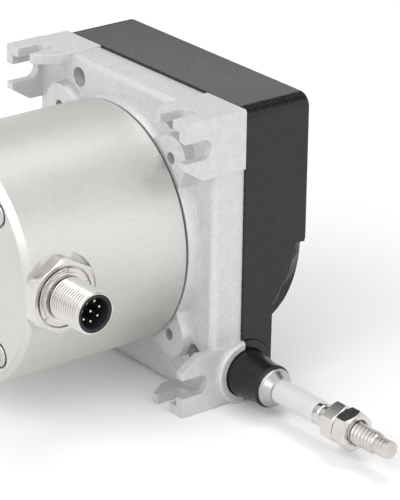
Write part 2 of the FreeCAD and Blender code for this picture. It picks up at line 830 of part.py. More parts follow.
def make_board():
    """Round circuit board with holes for its screws."""
    face = board_face()
    board = cylinder_x(face - board_thickness, face, board_radius)
    holes = [cylinder_x(face - board_thickness - 1, face + 1, board_screw_radius + board_hole_gap, y, z)
             for y, z in around(standoff_count, standoff_circle_radius, standoff_start_angle)]
    return board.cut(Part.makeCompound(holes))


def make_reader():
    """Optical reader on the board, facing the disc's track."""
    face = board_face()
    return Part.makeBox(1.8, reader_size, reader_size,
                        V(face, -reader_size / 2, axis_z - disc_radius + 1))


def make_standoffs():
    """Posts between flange and board."""
    back = -encoder_start - encoder_flange_thickness
    face = board_face()
    posts = []
    for y, z in around(standoff_count, standoff_circle_radius, standoff_start_angle):
        posts.append(tube_x(face, back, standoff_radius, board_screw_radius + seat_clearance, y, z))
    return Part.makeCompound(posts)


def make_board_screws():
    """Screws that hold the board on its posts."""
    seat = board_face() - board_thickness
    screws = []
    for y, z in around(standoff_count, standoff_circle_radius, standoff_start_angle):
        head = cylinder_x(seat - board_screw_head_height, seat, board_screw_head_radius, y, z)
        screws.append(fuse([head, cylinder_x(seat, seat + board_screw_length, board_screw_radius, y, z)]))
    return Part.makeCompound(screws)


# Connector

def make_connector_nut():
    """Hexagonal nut that clamps the connector on the can's flat, recessed round the shell."""
    seat = -nut_seat_y
    top = seat + connector_nut_height
    corner = connector_nut_corner_radius
    blank = hexagon_out(seat, top, connector_nut_flats, connector_x, axis_z,
                        connector_nut_turn)
    profile = [(seat, 0), (seat, corner), (top - 0.7, corner), (top, corner - 1.2), (top, 0)]
    nut = blank.common(revolve_out(profile, connector_x, axis_z))
    recess = cylinder_out(top - connector_recess_depth, top + 1, connector_recess_radius,
                          connector_x, axis_z)
    bore = cylinder_out(seat - 1, top + 1, connector_neck_radius + seat_clearance, connector_x, axis_z)
    return nut.cut(recess).cut(bore)


def make_connector_ring():
    """Stepped ring in the nut's recess, with small wrench notches."""
    bottom = -nut_seat_y + connector_nut_height - connector_recess_depth
    middle = bottom + connector_ring_height
    bore = connector_neck_radius + seat_clearance
    profile = [(bottom, bore), (bottom, connector_ring_radius),
               (middle, connector_ring_radius), (middle, connector_ring_step_radius),
               (middle + connector_ring_step_height, connector_ring_step_radius),
               (middle + connector_ring_step_height, bore)]
    ring = revolve_out(profile, connector_x, axis_z)
    notches = []
    for i in range(4):
        notch = Part.makeBox(1.2, 1.0, 2.4, V(connector_x - 0.6, -middle - 0.5,
                                              axis_z + connector_ring_step_radius))
        notch.rotate(V(connector_x, 0, axis_z), Y_AXIS, 20 + 90 * i)
        notches.append(notch)
    return ring.cut(Part.makeCompound(notches))


def make_connector_shell():
    """Threaded metal sleeve of the connector."""
    face = connector_face
    thread = connector_thread_radius
    clamped = connector_neck_radius
    free = -nut_seat_y + connector_nut_height - connector_recess_depth
    free += connector_ring_height + connector_ring_step_height
    shoulder = face - connector_socket_depth - socket_floor
    profile = [(connector_back, connector_body_radius - shell_wall), (connector_back, connector_body_radius),
               (-nut_seat_y - can_wall, connector_body_radius), (-nut_seat_y - can_wall, clamped),
               (free, clamped), (free, thread),
               (face - 0.5, thread), (face, thread - 0.3), (face, connector_rim_radius),
               (shoulder, connector_rim_radius), (shoulder, connector_body_radius - shell_wall)]
    return revolve_out(profile, connector_x, axis_z)


def make_connector_insert():
    """Insulating insert with the socket round the pins and its coding key."""
    face = connector_face - insert_recess
    floor = face - connector_socket_depth
    rim = connector_rim_radius - running_clearance
    back_radius = connector_body_radius - shell_wall - running_clearance
    back = connector_back + insert_setback
    shoulder = connector_face - connector_socket_depth - socket_floor + insert_recess
    profile = [(back, 0), (back, back_radius), (shoulder, back_radius),
               (shoulder, rim), (face, rim), (face, connector_socket_radius),
               (floor, connector_socket_radius), (floor, 0)]
    body = revolve_out(profile, connector_x, axis_z)
    key = Part.makeBox(key_width, connector_socket_depth - key_recess, key_height + key_root,
                       V(connector_x - key_width / 2, -face + key_recess,
                         axis_z + connector_socket_radius - key_height))
    return body.fuse(key).removeSplitter()


def pin_places():
    """Places (x, z) of the contact pins: a ring and one in the middle."""
    places = [(connector_x, axis_z)]
    for i in range(pin_count):
        angle = math.radians(90 + 360.0 * (i + 0.5) / pin_count)
        places.append((connector_x + pin_circle_radius * math.cos(angle),
                       axis_z + pin_circle_radius * math.sin(angle)))
    return places


def make_contact_pins():
    """Contact pins of the connector."""
    tip = connector_face - pin_recess
    floor = connector_face - insert_recess - connector_socket_depth
    return Part.makeCompound([cylinder_out(floor, tip, pin_radius, x, z) for x, z in pin_places()])


# Wire exit

def make_gland():
    """Tapered sleeve clamped between housing and cover at the wire exit."""
    tip = gland_end
    bead = tip - gland_bead_length
    bore_floor = tip - gland_bore_depth
    profile = [(gland_back, gland_back_bore_radius), (gland_back, gland_radius),
               (gland_taper_start, gland_radius), (bead, gland_neck_radius),
               (bead + gland_bead_slope, gland_bead_radius), (tip - gland_tip_round, gland_bead_radius),
               (tip, gland_bead_radius - gland_tip_round),
               (tip, gland_bore_radius), (bore_floor, gland_bore_radius),
               (bore_floor, gland_back_bore_radius)]
    return revolve_out(profile, wire_exit_x, exit_z)


def make_nozzle():
    """Polished nozzle in the gland's end that the wire runs through."""
    back = gland_end - gland_bore_depth + part_gap
    spigot = gland_bore_radius - seat_clearance
    flange_end = gland_end + nozzle_flange_height
    profile = [(back, nozzle_bore_radius), (back, spigot), (gland_end, spigot),
               (gland_end, nozzle_flange_radius), (flange_end, nozzle_flange_radius),
               (nozzle_end, nozzle_tip_radius), (nozzle_end, nozzle_bore_radius)]
    return revolve_out(profile, wire_exit_x, exit_z)


def make_guide():
    """Wear-resistant eyelet behind the gland, with a flared mouth for the wire."""
    end = gland_back
    start = end - guide_length
    profile = [(start, nozzle_bore_radius + guide_flare), (start, guide_radius), (end, guide_radius),
               (end, nozzle_bore_radius + guide_flare), (end - guide_flare, nozzle_bore_radius),
               (start + guide_flare, nozzle_bore_radius)]
    return revolve_out(profile, wire_exit_x, exit_z)


# Wire and its end fitting

sleeve_start = nozzle_end + stop_gap
sleeve_end = sleeve_start + sleeve_length
hex_start = sleeve_end + stud_neck_length
hex_end = hex_start + stud_hex_height
stud_end = hex_end + stud_length
nut_end = hex_end + nut_gap + nut_height


def make_wire():
    """Straight stretch of wire from the drum to the ferrule, pulled tight by the spring."""
    clear = drum_pitch_radius + 2 * wire_radius + seat_clearance
    start = math.sqrt(clear ** 2 - drum_pitch_radius ** 2) + wire_radius
    return cylinder_out(start, sleeve_start + 1 + ferrule_length, wire_radius, wire_exit_x, exit_z)


def make_ferrule():
    """Crimped ferrule on the wire inside the sleeve."""
    start = sleeve_start + 1
    profile = [(start, ferrule_bore_radius), (start, ferrule_radius - 0.3), (start + 0.3, ferrule_radius),
               (start + ferrule_length, ferrule_radius), (start + ferrule_length, ferrule_bore_radius)]
    return revolve_out(profile, wire_exit_x, exit_z)


def make_sleeve():
    """White stop sleeve that buffers the wire end against the nozzle."""
    profile = [(sleeve_start, nozzle_bore_radius), (sleeve_start, sleeve_radius - 0.15),
               (sleeve_start + 0.15, sleeve_radius), (sleeve_end - 0.3, sleeve_radius),
               (sleeve_end, sleeve_radius - 0.3), (sleeve_end, sleeve_bore_radius),
               (sleeve_start + 1, sleeve_bore_radius), (sleeve_start + 1, nozzle_bore_radius)]
    return revolve_out(profile, wire_exit_x, exit_z)


def make_stud():
    """Threaded end fitting: shank in the sleeve, grooved neck, hexagon, thread and dog point."""
    shank = sleeve_bore_radius - seat_clearance
    collar_end = sleeve_end + stud_collar_height
    groove = stud_neck_radius
    ridge = stud_neck_radius + stud_neck_ridge
    third = (hex_start - collar_end) / 3
    tip_start = stud_end - stud_tip_length
    turned = [(sleeve_end - stud_shank_length, 0), (sleeve_end - stud_shank_length, shank),
              (sleeve_end, shank), (sleeve_end, stud_collar_radius),
              (collar_end, stud_collar_radius), (collar_end, groove),
              (collar_end + third, groove), (collar_end + third, ridge),
              (collar_end + 2 * third, ridge), (collar_end + 2 * third, groove),
              (hex_end, groove), (hex_end, stud_root_radius),
              (nut_end, stud_root_radius), (nut_end, stud_radius),
              (tip_start - stud_chamfer, stud_radius), (tip_start, stud_tip_radius),
              (stud_end - stud_chamfer, stud_tip_radius), (stud_end, stud_tip_radius - stud_chamfer),
              (stud_end, 0)]
    body = revolve_out(turned, wire_exit_x, exit_z)
    hexagon = chamfered_hex(hex_start, hex_end, stud_hex_flats, nut_chamfer, wire_exit_x, exit_z,
                            stud_hex_turn)
    return fuse([body, hexagon])


def make_nut():
    """Lock nut on the stud's thread."""
    start = hex_end + nut_gap
    end = nut_end
    blank = chamfered_hex(start, end, nut_flats, nut_chamfer, wire_exit_x, exit_z, nut_turn)
    bore_radius = stud_root_radius + seat_clearance
    mouth = bore_radius + nut_mouth + 1
    bore = revolve_out([(start - 1, 0), (start - 1, mouth), (start + nut_mouth, bore_radius),
                        (end - nut_mouth, bore_radius), (end + 1, mouth), (end + 1, 0)],
                       wire_exit_x, exit_z)
    return blank.cut(bore)


save("housing", make_housing())
save("spring_cover", make_cover())
save("cover_screws", make_cover_screws())
save("wire_drum", make_drum())
save("wire_winding", make_winding())
save("drum_shaft", make_drum_shaft())
save("retaining_ring", make_retaining_ring())
for bearing_name, bearing_shape in make_bearings().items():
    save(bearing_name, bearing_shape)
save("spring_cassette", make_spring_cassette())
save("spring_arbor", make_spring_arbor())
save("spiral_spring", make_spiral_spring())
save("encoder_can", make_encoder_can())
save("encoder_end_cap", make_encoder_cap())
save("encoder_flange", make_encoder_flange())
save("encoder_seal", make_encoder_seal())
save("flange_screws", make_flange_screws())
save("tie_bolts", make_tie_bolts())
save("encoder_shaft", make_encoder_shaft())
save("code_disc", make_code_disc())
save("sensor_board", make_board())
save("optical_reader", make_reader())
save("board_standoffs", make_standoffs())
save("board_screws", make_board_screws())
save("connector_nut", make_connector_nut())
save("connector_ring", make_connector_ring())
save("connector_shell", make_connector_shell())
save("connector_insert", make_connector_insert())
save("contact_pins", make_contact_pins())
save("wire_gland", make_gland())
save("wire_nozzle", make_nozzle())
save("wire_guide", make_guide())
save("draw_wire", make_wire())
save("wire_ferrule", make_ferrule())
save("stop_sleeve", make_sleeve())
save("threaded_stud", make_stud())
save("lock_nut", make_nut())
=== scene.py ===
"""Draw wire encoder: cast housing, black spring cover, encoder, connector and the wire with its end fitting.

Every piece is modelled in millimetres on its own turning line and then placed in the frame of the CAD part.
"""
import math
from operator import attrgetter

import bmesh
import bpy
from bpy.props import FloatProperty, FloatVectorProperty, IntProperty, PointerProperty
from mathutils import Matrix, Vector
from mathutils.bvhtree import BVHTree


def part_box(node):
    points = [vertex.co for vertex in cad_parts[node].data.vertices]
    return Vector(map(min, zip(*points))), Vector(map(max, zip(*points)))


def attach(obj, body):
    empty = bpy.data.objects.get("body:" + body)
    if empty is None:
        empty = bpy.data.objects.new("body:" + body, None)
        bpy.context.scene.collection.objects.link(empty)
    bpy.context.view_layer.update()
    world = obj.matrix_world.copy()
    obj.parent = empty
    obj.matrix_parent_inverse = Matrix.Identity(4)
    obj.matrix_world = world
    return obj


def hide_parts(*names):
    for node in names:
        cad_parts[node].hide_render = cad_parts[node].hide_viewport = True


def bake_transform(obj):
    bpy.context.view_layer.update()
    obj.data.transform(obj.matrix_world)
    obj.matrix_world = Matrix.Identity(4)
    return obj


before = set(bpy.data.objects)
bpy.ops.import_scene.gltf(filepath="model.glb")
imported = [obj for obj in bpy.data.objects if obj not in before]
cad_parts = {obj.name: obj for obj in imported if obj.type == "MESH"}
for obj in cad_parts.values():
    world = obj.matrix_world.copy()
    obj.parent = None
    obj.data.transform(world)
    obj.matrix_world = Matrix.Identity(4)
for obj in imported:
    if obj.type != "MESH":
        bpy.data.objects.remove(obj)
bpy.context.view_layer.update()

bl_info = {
    "name": "Draw Wire Encoder",
    "version": (1, 0, 0),
    "blender": (4, 5, 0),
    "location": "3D View > Sidebar > Draw Wire",
    "description": "Builds a draw wire encoder with its housing, cover, connector and end fitting",
    "category": "Object",
}

MM = 0.001


def in_mm(corners):
    """Corners of a box in millimetres."""
    return [corner / MM for corner in corners]


CAN_LOW, CAN_HIGH = in_mm(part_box("encoder_can"))
CAP_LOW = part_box("encoder_end_cap")[0] / MM
SHELL_LOW, SHELL_HIGH = in_mm(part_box("connector_shell"))
NUT_LOW, NUT_HIGH = in_mm(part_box("connector_nut"))
GLAND_LOW, GLAND_HIGH = in_mm(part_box("wire_gland"))
NOZZLE_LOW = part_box("wire_nozzle")[0] / MM
SLEEVE_LOW, SLEEVE_HIGH = in_mm(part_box("stop_sleeve"))
LOCK_LOW, LOCK_HIGH = in_mm(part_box("lock_nut"))
STUD_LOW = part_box("threaded_stud")[0] / MM
WIRE_LOW, WIRE_HIGH = in_mm(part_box("draw_wire"))

AXIS_Z = (CAN_LOW.z + CAN_HIGH.z) / 2
CONNECTOR_X = (SHELL_LOW.x + SHELL_HIGH.x) / 2
WIRE_X = (SLEEVE_LOW.x + SLEEVE_HIGH.x) / 2
WIRE_Z = (SLEEVE_LOW.z + SLEEVE_HIGH.z) / 2

# The cover's crown in the CAD part, and the hole for the connector's shell in can, nut and ring
CROWN_ROUND = 5.5
SHELL_HOLE = 5.7
# How far out the face under a mark lies, the mark's place across and up, and its share of the radius
EJECTOR_MARKS = ((20.6, -39.8, 83.5, 0.85), (20.6, 39.8, 83.3, 0.85),
                 (13.56, -29.3, 72.6, 1.0), (13.56, 28.4, 72.6, 1.0))
# Corners of a thread's ridge: share of the pitch, and share of the depth under the crest
THREAD_FORM = ((0.0, 1), (0.22, 1), (0.5425, 0), (0.6775, 0), (1.0, 1))
USUAL_DEPTH = 0.6134
# Place along the stud's neck and radius of its turned collars
STUD_COLLARS = ((1.8, 3.2), (2.0, 2.9), (2.4, 2.9), (2.6, 3.1), (3.8, 3.1), (4.0, 2.85), (4.4, 2.85),
                (4.6, 3.0))
STEPS_PER_LAY = 14
# Slants of the view between which a finish with a dull edge loses its gloss
DULL_VIEW = (0.67, 0.78)
# Parts of the marks' range that the tint and the gloss spread over
TINT_SPAN, GLOSS_SPAN = (0.38, 0.62), (0.25, 0.75)

X_AXIS, Y_AXIS, Z_AXIS = Vector((1, 0, 0)), Vector((0, 1, 0)), Vector((0, 0, 1))
DRUM_LINE = (Vector((0, 0, AXIS_Z)), X_AXIS)
CONNECTOR_LINE = (Vector((CONNECTOR_X, 0, AXIS_Z)), -Y_AXIS)
WIRE_LINE = (Vector((WIRE_X, 0, WIRE_Z)), -Y_AXIS)


# Settings

def length_mm(name, description, default):
    """A length in millimetres that a user may change."""
    return FloatProperty(name=name, description=description, default=default * MM, min=0.0,
                         precision=5, unit="LENGTH")


def colour(name, description, default):
    """A linear colour that a user may change."""
    return FloatVectorProperty(name=name, description=description, default=default, size=3,
                               min=0.0, max=1.0, subtype="COLOR")


def power(lamp, default):
    """The power of a lamp that a user may change."""
    return FloatProperty(name=f"{lamp} power", description=f"Power of the {lamp.lower()} lamp in watts",
                         default=default, min=0.0, unit="POWER")


class HousingSettings(bpy.types.PropertyGroup):
    edge_round: length_mm("Cast edge round", "Round on the edges of the cast housing", 0.18)
    cover_edge_round: length_mm("Cover edge round", "Round on the edges of the moulded cover", 0.3)
    crown_round: length_mm("Crown round", "Round along the cover's two upper edges", 3.8)
    mark_radius: length_mm("Mark radius", "Radius of the marks of the ejector pins", 1.5)
    cast_colour: colour("Cast colour", "Colour of the cast metal", (0.628, 0.633, 0.643))
    cover_colour: colour("Cover colour", "Colour of the black cover", (0.0125, 0.012, 0.0128))
    screw_colour: colour("Screw colour", "Colour of the cover screws", (0.55, 0.55, 0.54))


class EncoderSettings(bpy.types.PropertyGroup):
    chamfer: length_mm("Cap chamfer", "Turned chamfer of the end cap", 1.7)
    spotface_radius: length_mm("Spotface radius", "Radius of the flat for the connector", 11.6)
    bolt_circle: length_mm("Bolt circle", "Radius of the circle of the tie bolts", 28.5)
    bolt_head_radius: length_mm("Bolt head radius", "Radius of a tie bolt head", 3.2)
    metal_colour: colour("Can colour", "Colour of the turned aluminium", (0.625, 0.617, 0.594))
    seal_colour: colour("Seal colour", "Colour of the sealing ring", (0.03, 0.03, 0.03))


class ConnectorSettings(bpy.types.PropertyGroup):
    nut_flats: length_mm("Nut width", "Width of the connector nut across its flats", 19.4)
    nut_corner_radius: length_mm("Nut corner radius", "Radius that the nut's corners are turned to", 10.8)
    pitch: length_mm("Thread pitch", "Pitch of the connector thread", 1.0)
    pin_count: IntProperty(name="Pins in the ring", description="Pins round the middle pin",
                           default=7, min=2, max=12)
    pin_circle: length_mm("Pin circle", "Radius of the ring of pins", 2.9)
    pin_colour: colour("Pin colour", "Colour of the plated pins", (0.86, 0.78, 0.60))
    nickel_colour: colour("Nickel colour", "Colour of the nickel plate", (0.66, 0.645, 0.62))
    insert_colour: colour("Insert colour", "Colour of the insulating insert", (0.022, 0.022, 0.029))


class WireSettings(bpy.types.PropertyGroup):
    wire_radius: length_mm("Wire radius", "Outer radius of the stranded wire", 0.275)
    strand_pitch: length_mm("Lay length", "Length of one turn of a strand", 4.0)
    pitch: length_mm("Thread pitch", "Distance between the ridges of the stud", 1.33)
    flats: length_mm("Wrench width", "Width of the stud's hexagon and lock nut across flats", 10.0)
    steel_colour: colour("Steel colour", "Colour of the stainless steel", (0.67, 0.65, 0.632))
    gland_colour: colour("Gland colour", "Colour of the black gland", (0.012, 0.012, 0.013))
    sleeve_colour: colour("Sleeve colour", "Colour of the white stop sleeve", (0.66, 0.66, 0.66))


class StudioSettings(bpy.types.PropertyGroup):
    lens: FloatProperty(name="Lens", description="Focal length on a 36 mm sensor", default=218.70,
                        min=1.0, unit="CAMERA")
    floor_colour: colour("Floor colour", "Colour of the floor", (0.95, 0.95, 0.95))
    key_power: power("Key", 3.0)
    fill_power: power("Fill", 2.4)
    side_power: power("Side", 5.2)
    top_power: power("Top", 3.4)
    sky_level: FloatProperty(name="Sky level", description="Level of the surrounding soft light",
                             default=0.76, min=0.0)


def settings():
    """The settings of the open scene, by group."""
    return bpy.context.scene.draw_wire


class DrawWireSettings(bpy.types.PropertyGroup):
    housing: PointerProperty(type=HousingSettings)
    encoder: PointerProperty(type=EncoderSettings)
    connector: PointerProperty(type=ConnectorSettings)
    wire: PointerProperty(type=WireSettings)
    studio: PointerProperty(type=StudioSettings)


# Shapes in millimetres: local Z runs along the turning line and local X is the radius

def line_matrix(line):
    """Places local millimetres on a turning line, in metres."""
    origin, direction = line
    side = direction.cross(Z_AXIS)
    basis = Matrix((Z_AXIS, side, direction)).transposed().to_4x4()
    return Matrix.Scale(MM, 4) @ Matrix.Translation(origin) @ basis


def linked(name, data):
    """An object of the scene for a mesh, a lamp or a camera."""
    made = bpy.data.objects.new(name, data)
    bpy.context.scene.collection.objects.link(made)
    return made


def new_object(name, bm):
    """A mesh object from a bmesh, with its place in its mesh."""
    mesh = bpy.data.meshes.new(name)
    bm.to_mesh(mesh)
    bm.free()
    return linked(name, mesh)


def merge_and_face_out(bm, gap=0.0005):
    """Merge doubles and turn every face outwards."""
    bmesh.ops.remove_doubles(bm, verts=bm.verts, dist=gap)
    bmesh.ops.recalc_face_normals(bm, faces=bm.faces)


def only_verts(geometry):
    """The points among the elements of a mesh."""
    return [v for v in geometry if isinstance(v, bmesh.types.BMVert)]


def sharp_edges(bm, angle):
    """Edges whose two faces turn by more than the angle."""
    return [e for e in bm.edges if len(e.link_faces) == 2 and e.calc_face_angle(0) > math.radians(angle)]


def bevel(bm, edges, width, segments, clamp=True):
    """Round the given edges."""
    bmesh.ops.bevel(bm, geom=edges, offset=width, affect="EDGES", segments=segments, profile=0.5,
                    material=-1, clamp_overlap=clamp)


def corner_edges(bm, along, radius):
    """Edges of the circle that one profile corner made."""
    near = 1e-4

    def on_circle(vert):
        off = math.hypot(vert.co.x, vert.co.y) - radius
        return abs(vert.co.z - along) < near and abs(off) < near
    return [e for e in bm.edges if on_circle(e.verts[0]) and on_circle(e.verts[1])]


def turned(profile, steps=96, round_segments=3):
    """A turned body from (along, radius, round) corners; both ends lie on the axis or the profile closes."""
    bm = bmesh.new()
    points = [bm.verts.new((corner[1], 0, corner[0])) for corner in profile]
    lines = [bm.edges.new(pair) for pair in zip(points, points[1:])]
    if profile[0][1] > 0 and profile[-1][1] > 0:
        lines.append(bm.edges.new((points[-1], points[0])))
    bmesh.ops.spin(bm, geom=points + lines, cent=(0, 0, 0), axis=(0, 0, 1), angle=2 * math.pi,
                   steps=steps, use_merge=True)
    merge_and_face_out(bm)
    for along, radius, *rounds in profile:
        if rounds:
            bevel(bm, corner_edges(bm, along, radius), rounds[0], round_segments)
    merge_and_face_out(bm)
    return bm


def rod(start, end, radius, steps):
    """A plain round bar."""
    return turned([(start, 0), (start, radius), (end, radius), (end, 0)], steps=steps)


def prism(start, end, flats, sides=6, turn=0.0):
    """A straight prism with the given width across its flats."""
    bm = bmesh.new()
    corner = flats / 2 / math.cos(math.pi / sides)
    foot = Matrix.Translation((0, 0, start)) @ Matrix.Rotation(math.radians(turn - 90), 4, "Z")
    made = bmesh.ops.create_circle(bm, cap_ends=True, segments=sides, radius=corner, matrix=foot)
    faces = list({face for vert in made["verts"] for face in vert.link_faces})
    raised = bmesh.ops.extrude_face_region(bm, geom=faces, use_keep_orig=True)["geom"]
    bmesh.ops.translate(bm, vec=(0, 0, end - start), verts=only_verts(raised))
    merge_and_face_out(bm)
    return bm


def star(start, end, radius, turn):
    """A six-lobed star prism, the shape of a wrench socket."""
    points, valley = 6, 0.76
    bm = prism(start, end, 2 * radius * math.cos(math.pi / (2 * points)), sides=2 * points, turn=turn)
    inner = [v for v in bm.verts
             if round((math.degrees(math.atan2(v.co.y, v.co.x)) - turn) / 180 * points) % 2]
    bmesh.ops.scale(bm, vec=(valley, valley, 1.0), verts=inner)
    return bm


def block(size, centre):
    """A plain cutter block."""
    bm = bmesh.new()
    bmesh.ops.create_cube(bm, size=1.0, matrix=Matrix.Translation(centre) @ Matrix.Diagonal((*size, 1)))
    return bm


def helix(start, end, radius, pitch, steps=48, depth=None):
    """A closed helical thread body, trimmed flat at both ends; without a depth it has the usual one."""
    depth = depth or USUAL_DEPTH * pitch
    bm = bmesh.new()
    spare_turns = 3
    low = start - spare_turns / 2 * pitch
    points = [bm.verts.new((radius - drop * depth, 0, low + share * pitch)) for share, drop in THREAD_FORM]
    lines = [bm.edges.new(pair) for pair in zip(points, points[1:])]
    turns = math.ceil((end - start) / pitch) + spare_turns
    bmesh.ops.spin(bm, geom=points + lines, cent=(0, 0, 0), axis=(0, 0, 1), dvec=(0, 0, pitch / steps),
                   angle=2 * math.pi * turns, steps=steps * turns, use_merge=False)
    bmesh.ops.remove_doubles(bm, verts=bm.verts, dist=0.002)
    for height, side in ((start, -1), (end, 1)):
        bmesh.ops.bisect_plane(bm, geom=bm.verts[:] + bm.edges[:] + bm.faces[:], dist=1e-5,
                               plane_co=(0, 0, height), plane_no=(0, 0, side), clear_outer=True)
    bmesh.ops.holes_fill(bm, edges=[e for e in bm.edges if e.is_boundary], sides=0)
    bmesh.ops.recalc_face_normals(bm, faces=bm.faces)
    return bm


def joined(parts):
    """Several closed bodies in one bmesh."""
    whole = bmesh.new()
    for part in parts:
        mesh = bpy.data.meshes.new("part")
        part.to_mesh(mesh)
        part.free()
        whole.from_mesh(mesh)
        bpy.data.meshes.remove(mesh)
    return whole


def combine(bm, tool, operation):
    """The body after a boolean with a tool body: DIFFERENCE, INTERSECT or UNION."""
    body, cutter = new_object("body", bm), new_object("cutter", tool)
    change = body.modifiers.new("combine", "BOOLEAN")
    change.operation, change.solver, change.object = operation, "EXACT", cutter
    graph = bpy.context.evaluated_depsgraph_get()
    mesh = bpy.data.meshes.new_from_object(body.evaluated_get(graph), depsgraph=graph)
    result = bmesh.new()
    result.from_mesh(mesh)
    for spent in (body.data, cutter.data, mesh):
        bpy.data.meshes.remove(spent)
    return result


def cut(bm, *tools):
    """The body less each of the tool bodies."""
    for tool in tools:
        bm = combine(bm, tool, "DIFFERENCE")
    return bm


def soften(bm, width, angle):
    """Bevel every edge that is sharper than the angle."""
    bevel(bm, sharp_edges(bm, angle), width, 2)
    return bm


def chamfered_hex(start, end, flats, turn, share=0.97, slope=30.0):
    """A hexagon with the turned chamfers of a nut on both ends."""
    corner = flats / math.sqrt(3)
    face = flats / 2 * share
    rise = (corner - face) * math.tan(math.radians(slope))
    envelope = turned([(start, 0), (start, face), (start + rise, corner), (end - rise, corner),
                       (end, face), (end, 0)])
    return combine(prism(start, end, flats, turn=turn), envelope, "INTERSECT")


def copies(bm, places):
    """A copy of the body for each place; the body itself goes."""
    source = bm.verts[:] + bm.edges[:] + bm.faces[:]
    for matrix in places:
        made = bmesh.ops.duplicate(bm, geom=source)["geom"]
        bmesh.ops.transform(bm, matrix=matrix, verts=only_verts(made))
    bmesh.ops.delete(bm, geom=only_verts(source), context="VERTS")
    return bm


def copies_around(bm, count, radius, start_angle):
    """Copies of a body on a circle round the turning line, all facing the same way."""
    angles = [math.radians(start_angle + 360.0 * i / count) for i in range(count)]
    return copies(bm, [Matrix.Translation((radius * math.cos(a), radius * math.sin(a), 0)) for a in angles])


def place(name, bm, line, finish, body, replaces=(), sharp=40.0, weighted=True):
    """Put a finished body on its turning line, give it its finish and let it ride on its CAD body."""
    bmesh.ops.transform(bm, matrix=line_matrix(line), verts=bm.verts)
    piece = new_object(name, bm)
    return dress(piece, finish, body, replaces, sharp, weighted)


def dress(piece, finish, body, replaces=(), sharp=40.0, weighted=True):
    """Smooth shading, finish, body and the CAD nodes that the piece stands for."""
    piece.data.shade_smooth()
    piece.data.set_sharp_from_angle(angle=math.radians(sharp))
    if weighted:
        even = piece.modifiers.new("even_shading", "WEIGHTED_NORMAL")
        even.keep_sharp = True
        even.weight = 100
    piece.data.materials.clear()
    piece.data.materials.append(finish_material(finish))
    if body:
        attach(piece, body)
    if replaces:
        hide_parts(*replaces)
    return piece


def rounded_copy(node, name, width):
    """A merged copy of a CAD node's mesh with a small round on every sharp edge."""
    merge_gap, flat_angle, sharp_angle, stray_share = 2e-6, 0.6, 40.0, 0.5
    bm = bmesh.new()
    bm.from_mesh(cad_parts[node].data)
    bmesh.ops.remove_doubles(bm, verts=bm.verts, dist=merge_gap)
    bmesh.ops.dissolve_limit(bm, angle_limit=math.radians(flat_angle), verts=bm.verts, edges=bm.edges,
                             use_dissolve_boundaries=False)
    plain = BVHTree.FromBMesh(bm)
    bevel(bm, sharp_edges(bm, sharp_angle), width, 4, clamp=False)
    # A point that a crowded bevel throws off goes back to the plain surface
    for vert in bm.verts:
        near, _, _, distance = plain.find_nearest(vert.co)
        if distance > stray_share * width:
            vert.co = near
    low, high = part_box(node)
    for vert in bm.verts:
        vert.co = [min(max(value, a), b) for value, a, b in zip(vert.co, low, high)]
    return new_object(name, bm)


# Finishes

def node(tree, kind, inputs=None, **values):
    """A node with its settings and input values; an input that is a socket is linked."""
    made = tree.nodes.new(kind)
    for key, value in values.items():
        setattr(made, key, value)
    for key, value in (inputs or {}).items():
        if isinstance(value, bpy.types.NodeSocket):
            tree.links.new(value, made.inputs[key])
        else:
            made.inputs[key].default_value = value
    return made


def emptied(owner):
    """The node tree of a material or a world, with nothing in it."""
    owner.use_nodes = True
    owner.node_tree.nodes.clear()
    return owner.node_tree


def maths(tree, operation, *terms, use_clamp=False):
    """The outcome of a sum with numbers or sockets."""
    return node(tree, "ShaderNodeMath", dict(enumerate(terms)), operation=operation,
                use_clamp=use_clamp).outputs[0]


def stretched(tree, where, factors):
    """A vector with each of its parts multiplied."""
    return node(tree, "ShaderNodeVectorMath", {0: where, 1: factors}, operation="MULTIPLY").outputs[0]


def noise(tree, where, scale, detail, roughness):
    """A soft random value that changes along a vector."""
    return node(tree, "ShaderNodeTexNoise", {"Vector": where, "Scale": scale, "Detail": detail,
                                             "Roughness": roughness}).outputs[0]


def ranged(tree, value, low, high, to_low=0.0, to_high=1.0):
    """A value carried from one range over to another."""
    return node(tree, "ShaderNodeMapRange", {"Value": value, "From Min": low, "From Max": high,
                                             "To Min": to_low, "To Max": to_high}).outputs[0]


def lathe_marks(tree, where, scale, patches):
    """Fine turning marks round the local X axis: lines along a wall, circles on a face."""
    parts = node(tree, "ShaderNodeSeparateXYZ", {0: where}).outputs
    squares = [maths(tree, "MULTIPLY", parts[i], parts[i]) for i in (1, 2)]
    radius = maths(tree, "SQRT", maths(tree, "ADD", *squares))
    round_axis = node(tree, "ShaderNodeCombineXYZ", {0: parts[0], 1: radius}).outputs[0]
    wobble = stretched(tree, where, (0.004, 0.004, 0.004))
    path = node(tree, "ShaderNodeVectorMath", {0: round_axis, 1: wobble}, operation="ADD").outputs[0]
    return noise(tree, path, scale, 3.0, 0.65), noise(tree, where, patches, 2.0, 0.5)


def cast_skin(tree, where, scale, patches):
    """The fine grain of a cast or moulded surface, with a slow mottle."""
    cells = node(tree, "ShaderNodeTexVoronoi", {"Vector": where, "Scale": scale}, feature="SMOOTH_F1")
    both = maths(tree, "ADD", noise(tree, where, scale, 4.0, 0.6), cells.outputs[0])
    return maths(tree, "MULTIPLY", both, 0.5), noise(tree, where, patches, 3.0, 0.5)


def drawn_streaks(tree, where, scale, patches):
    """The long fine streaks of a drawn and brushed tube, along the local X axis."""
    fine = noise(tree, stretched(tree, where, (0.16, 1.0, 1.0)), scale, 3.0, 0.6)
    return fine, noise(tree, stretched(tree, where, (0.25, 1.0, 1.0)), patches, 4.0, 0.6)


PATTERNS = {"lathe": ("Lathe Marks", lathe_marks), "skin": ("Surface Skin", cast_skin),
            "drawn": ("Drawn Streaks", drawn_streaks)}


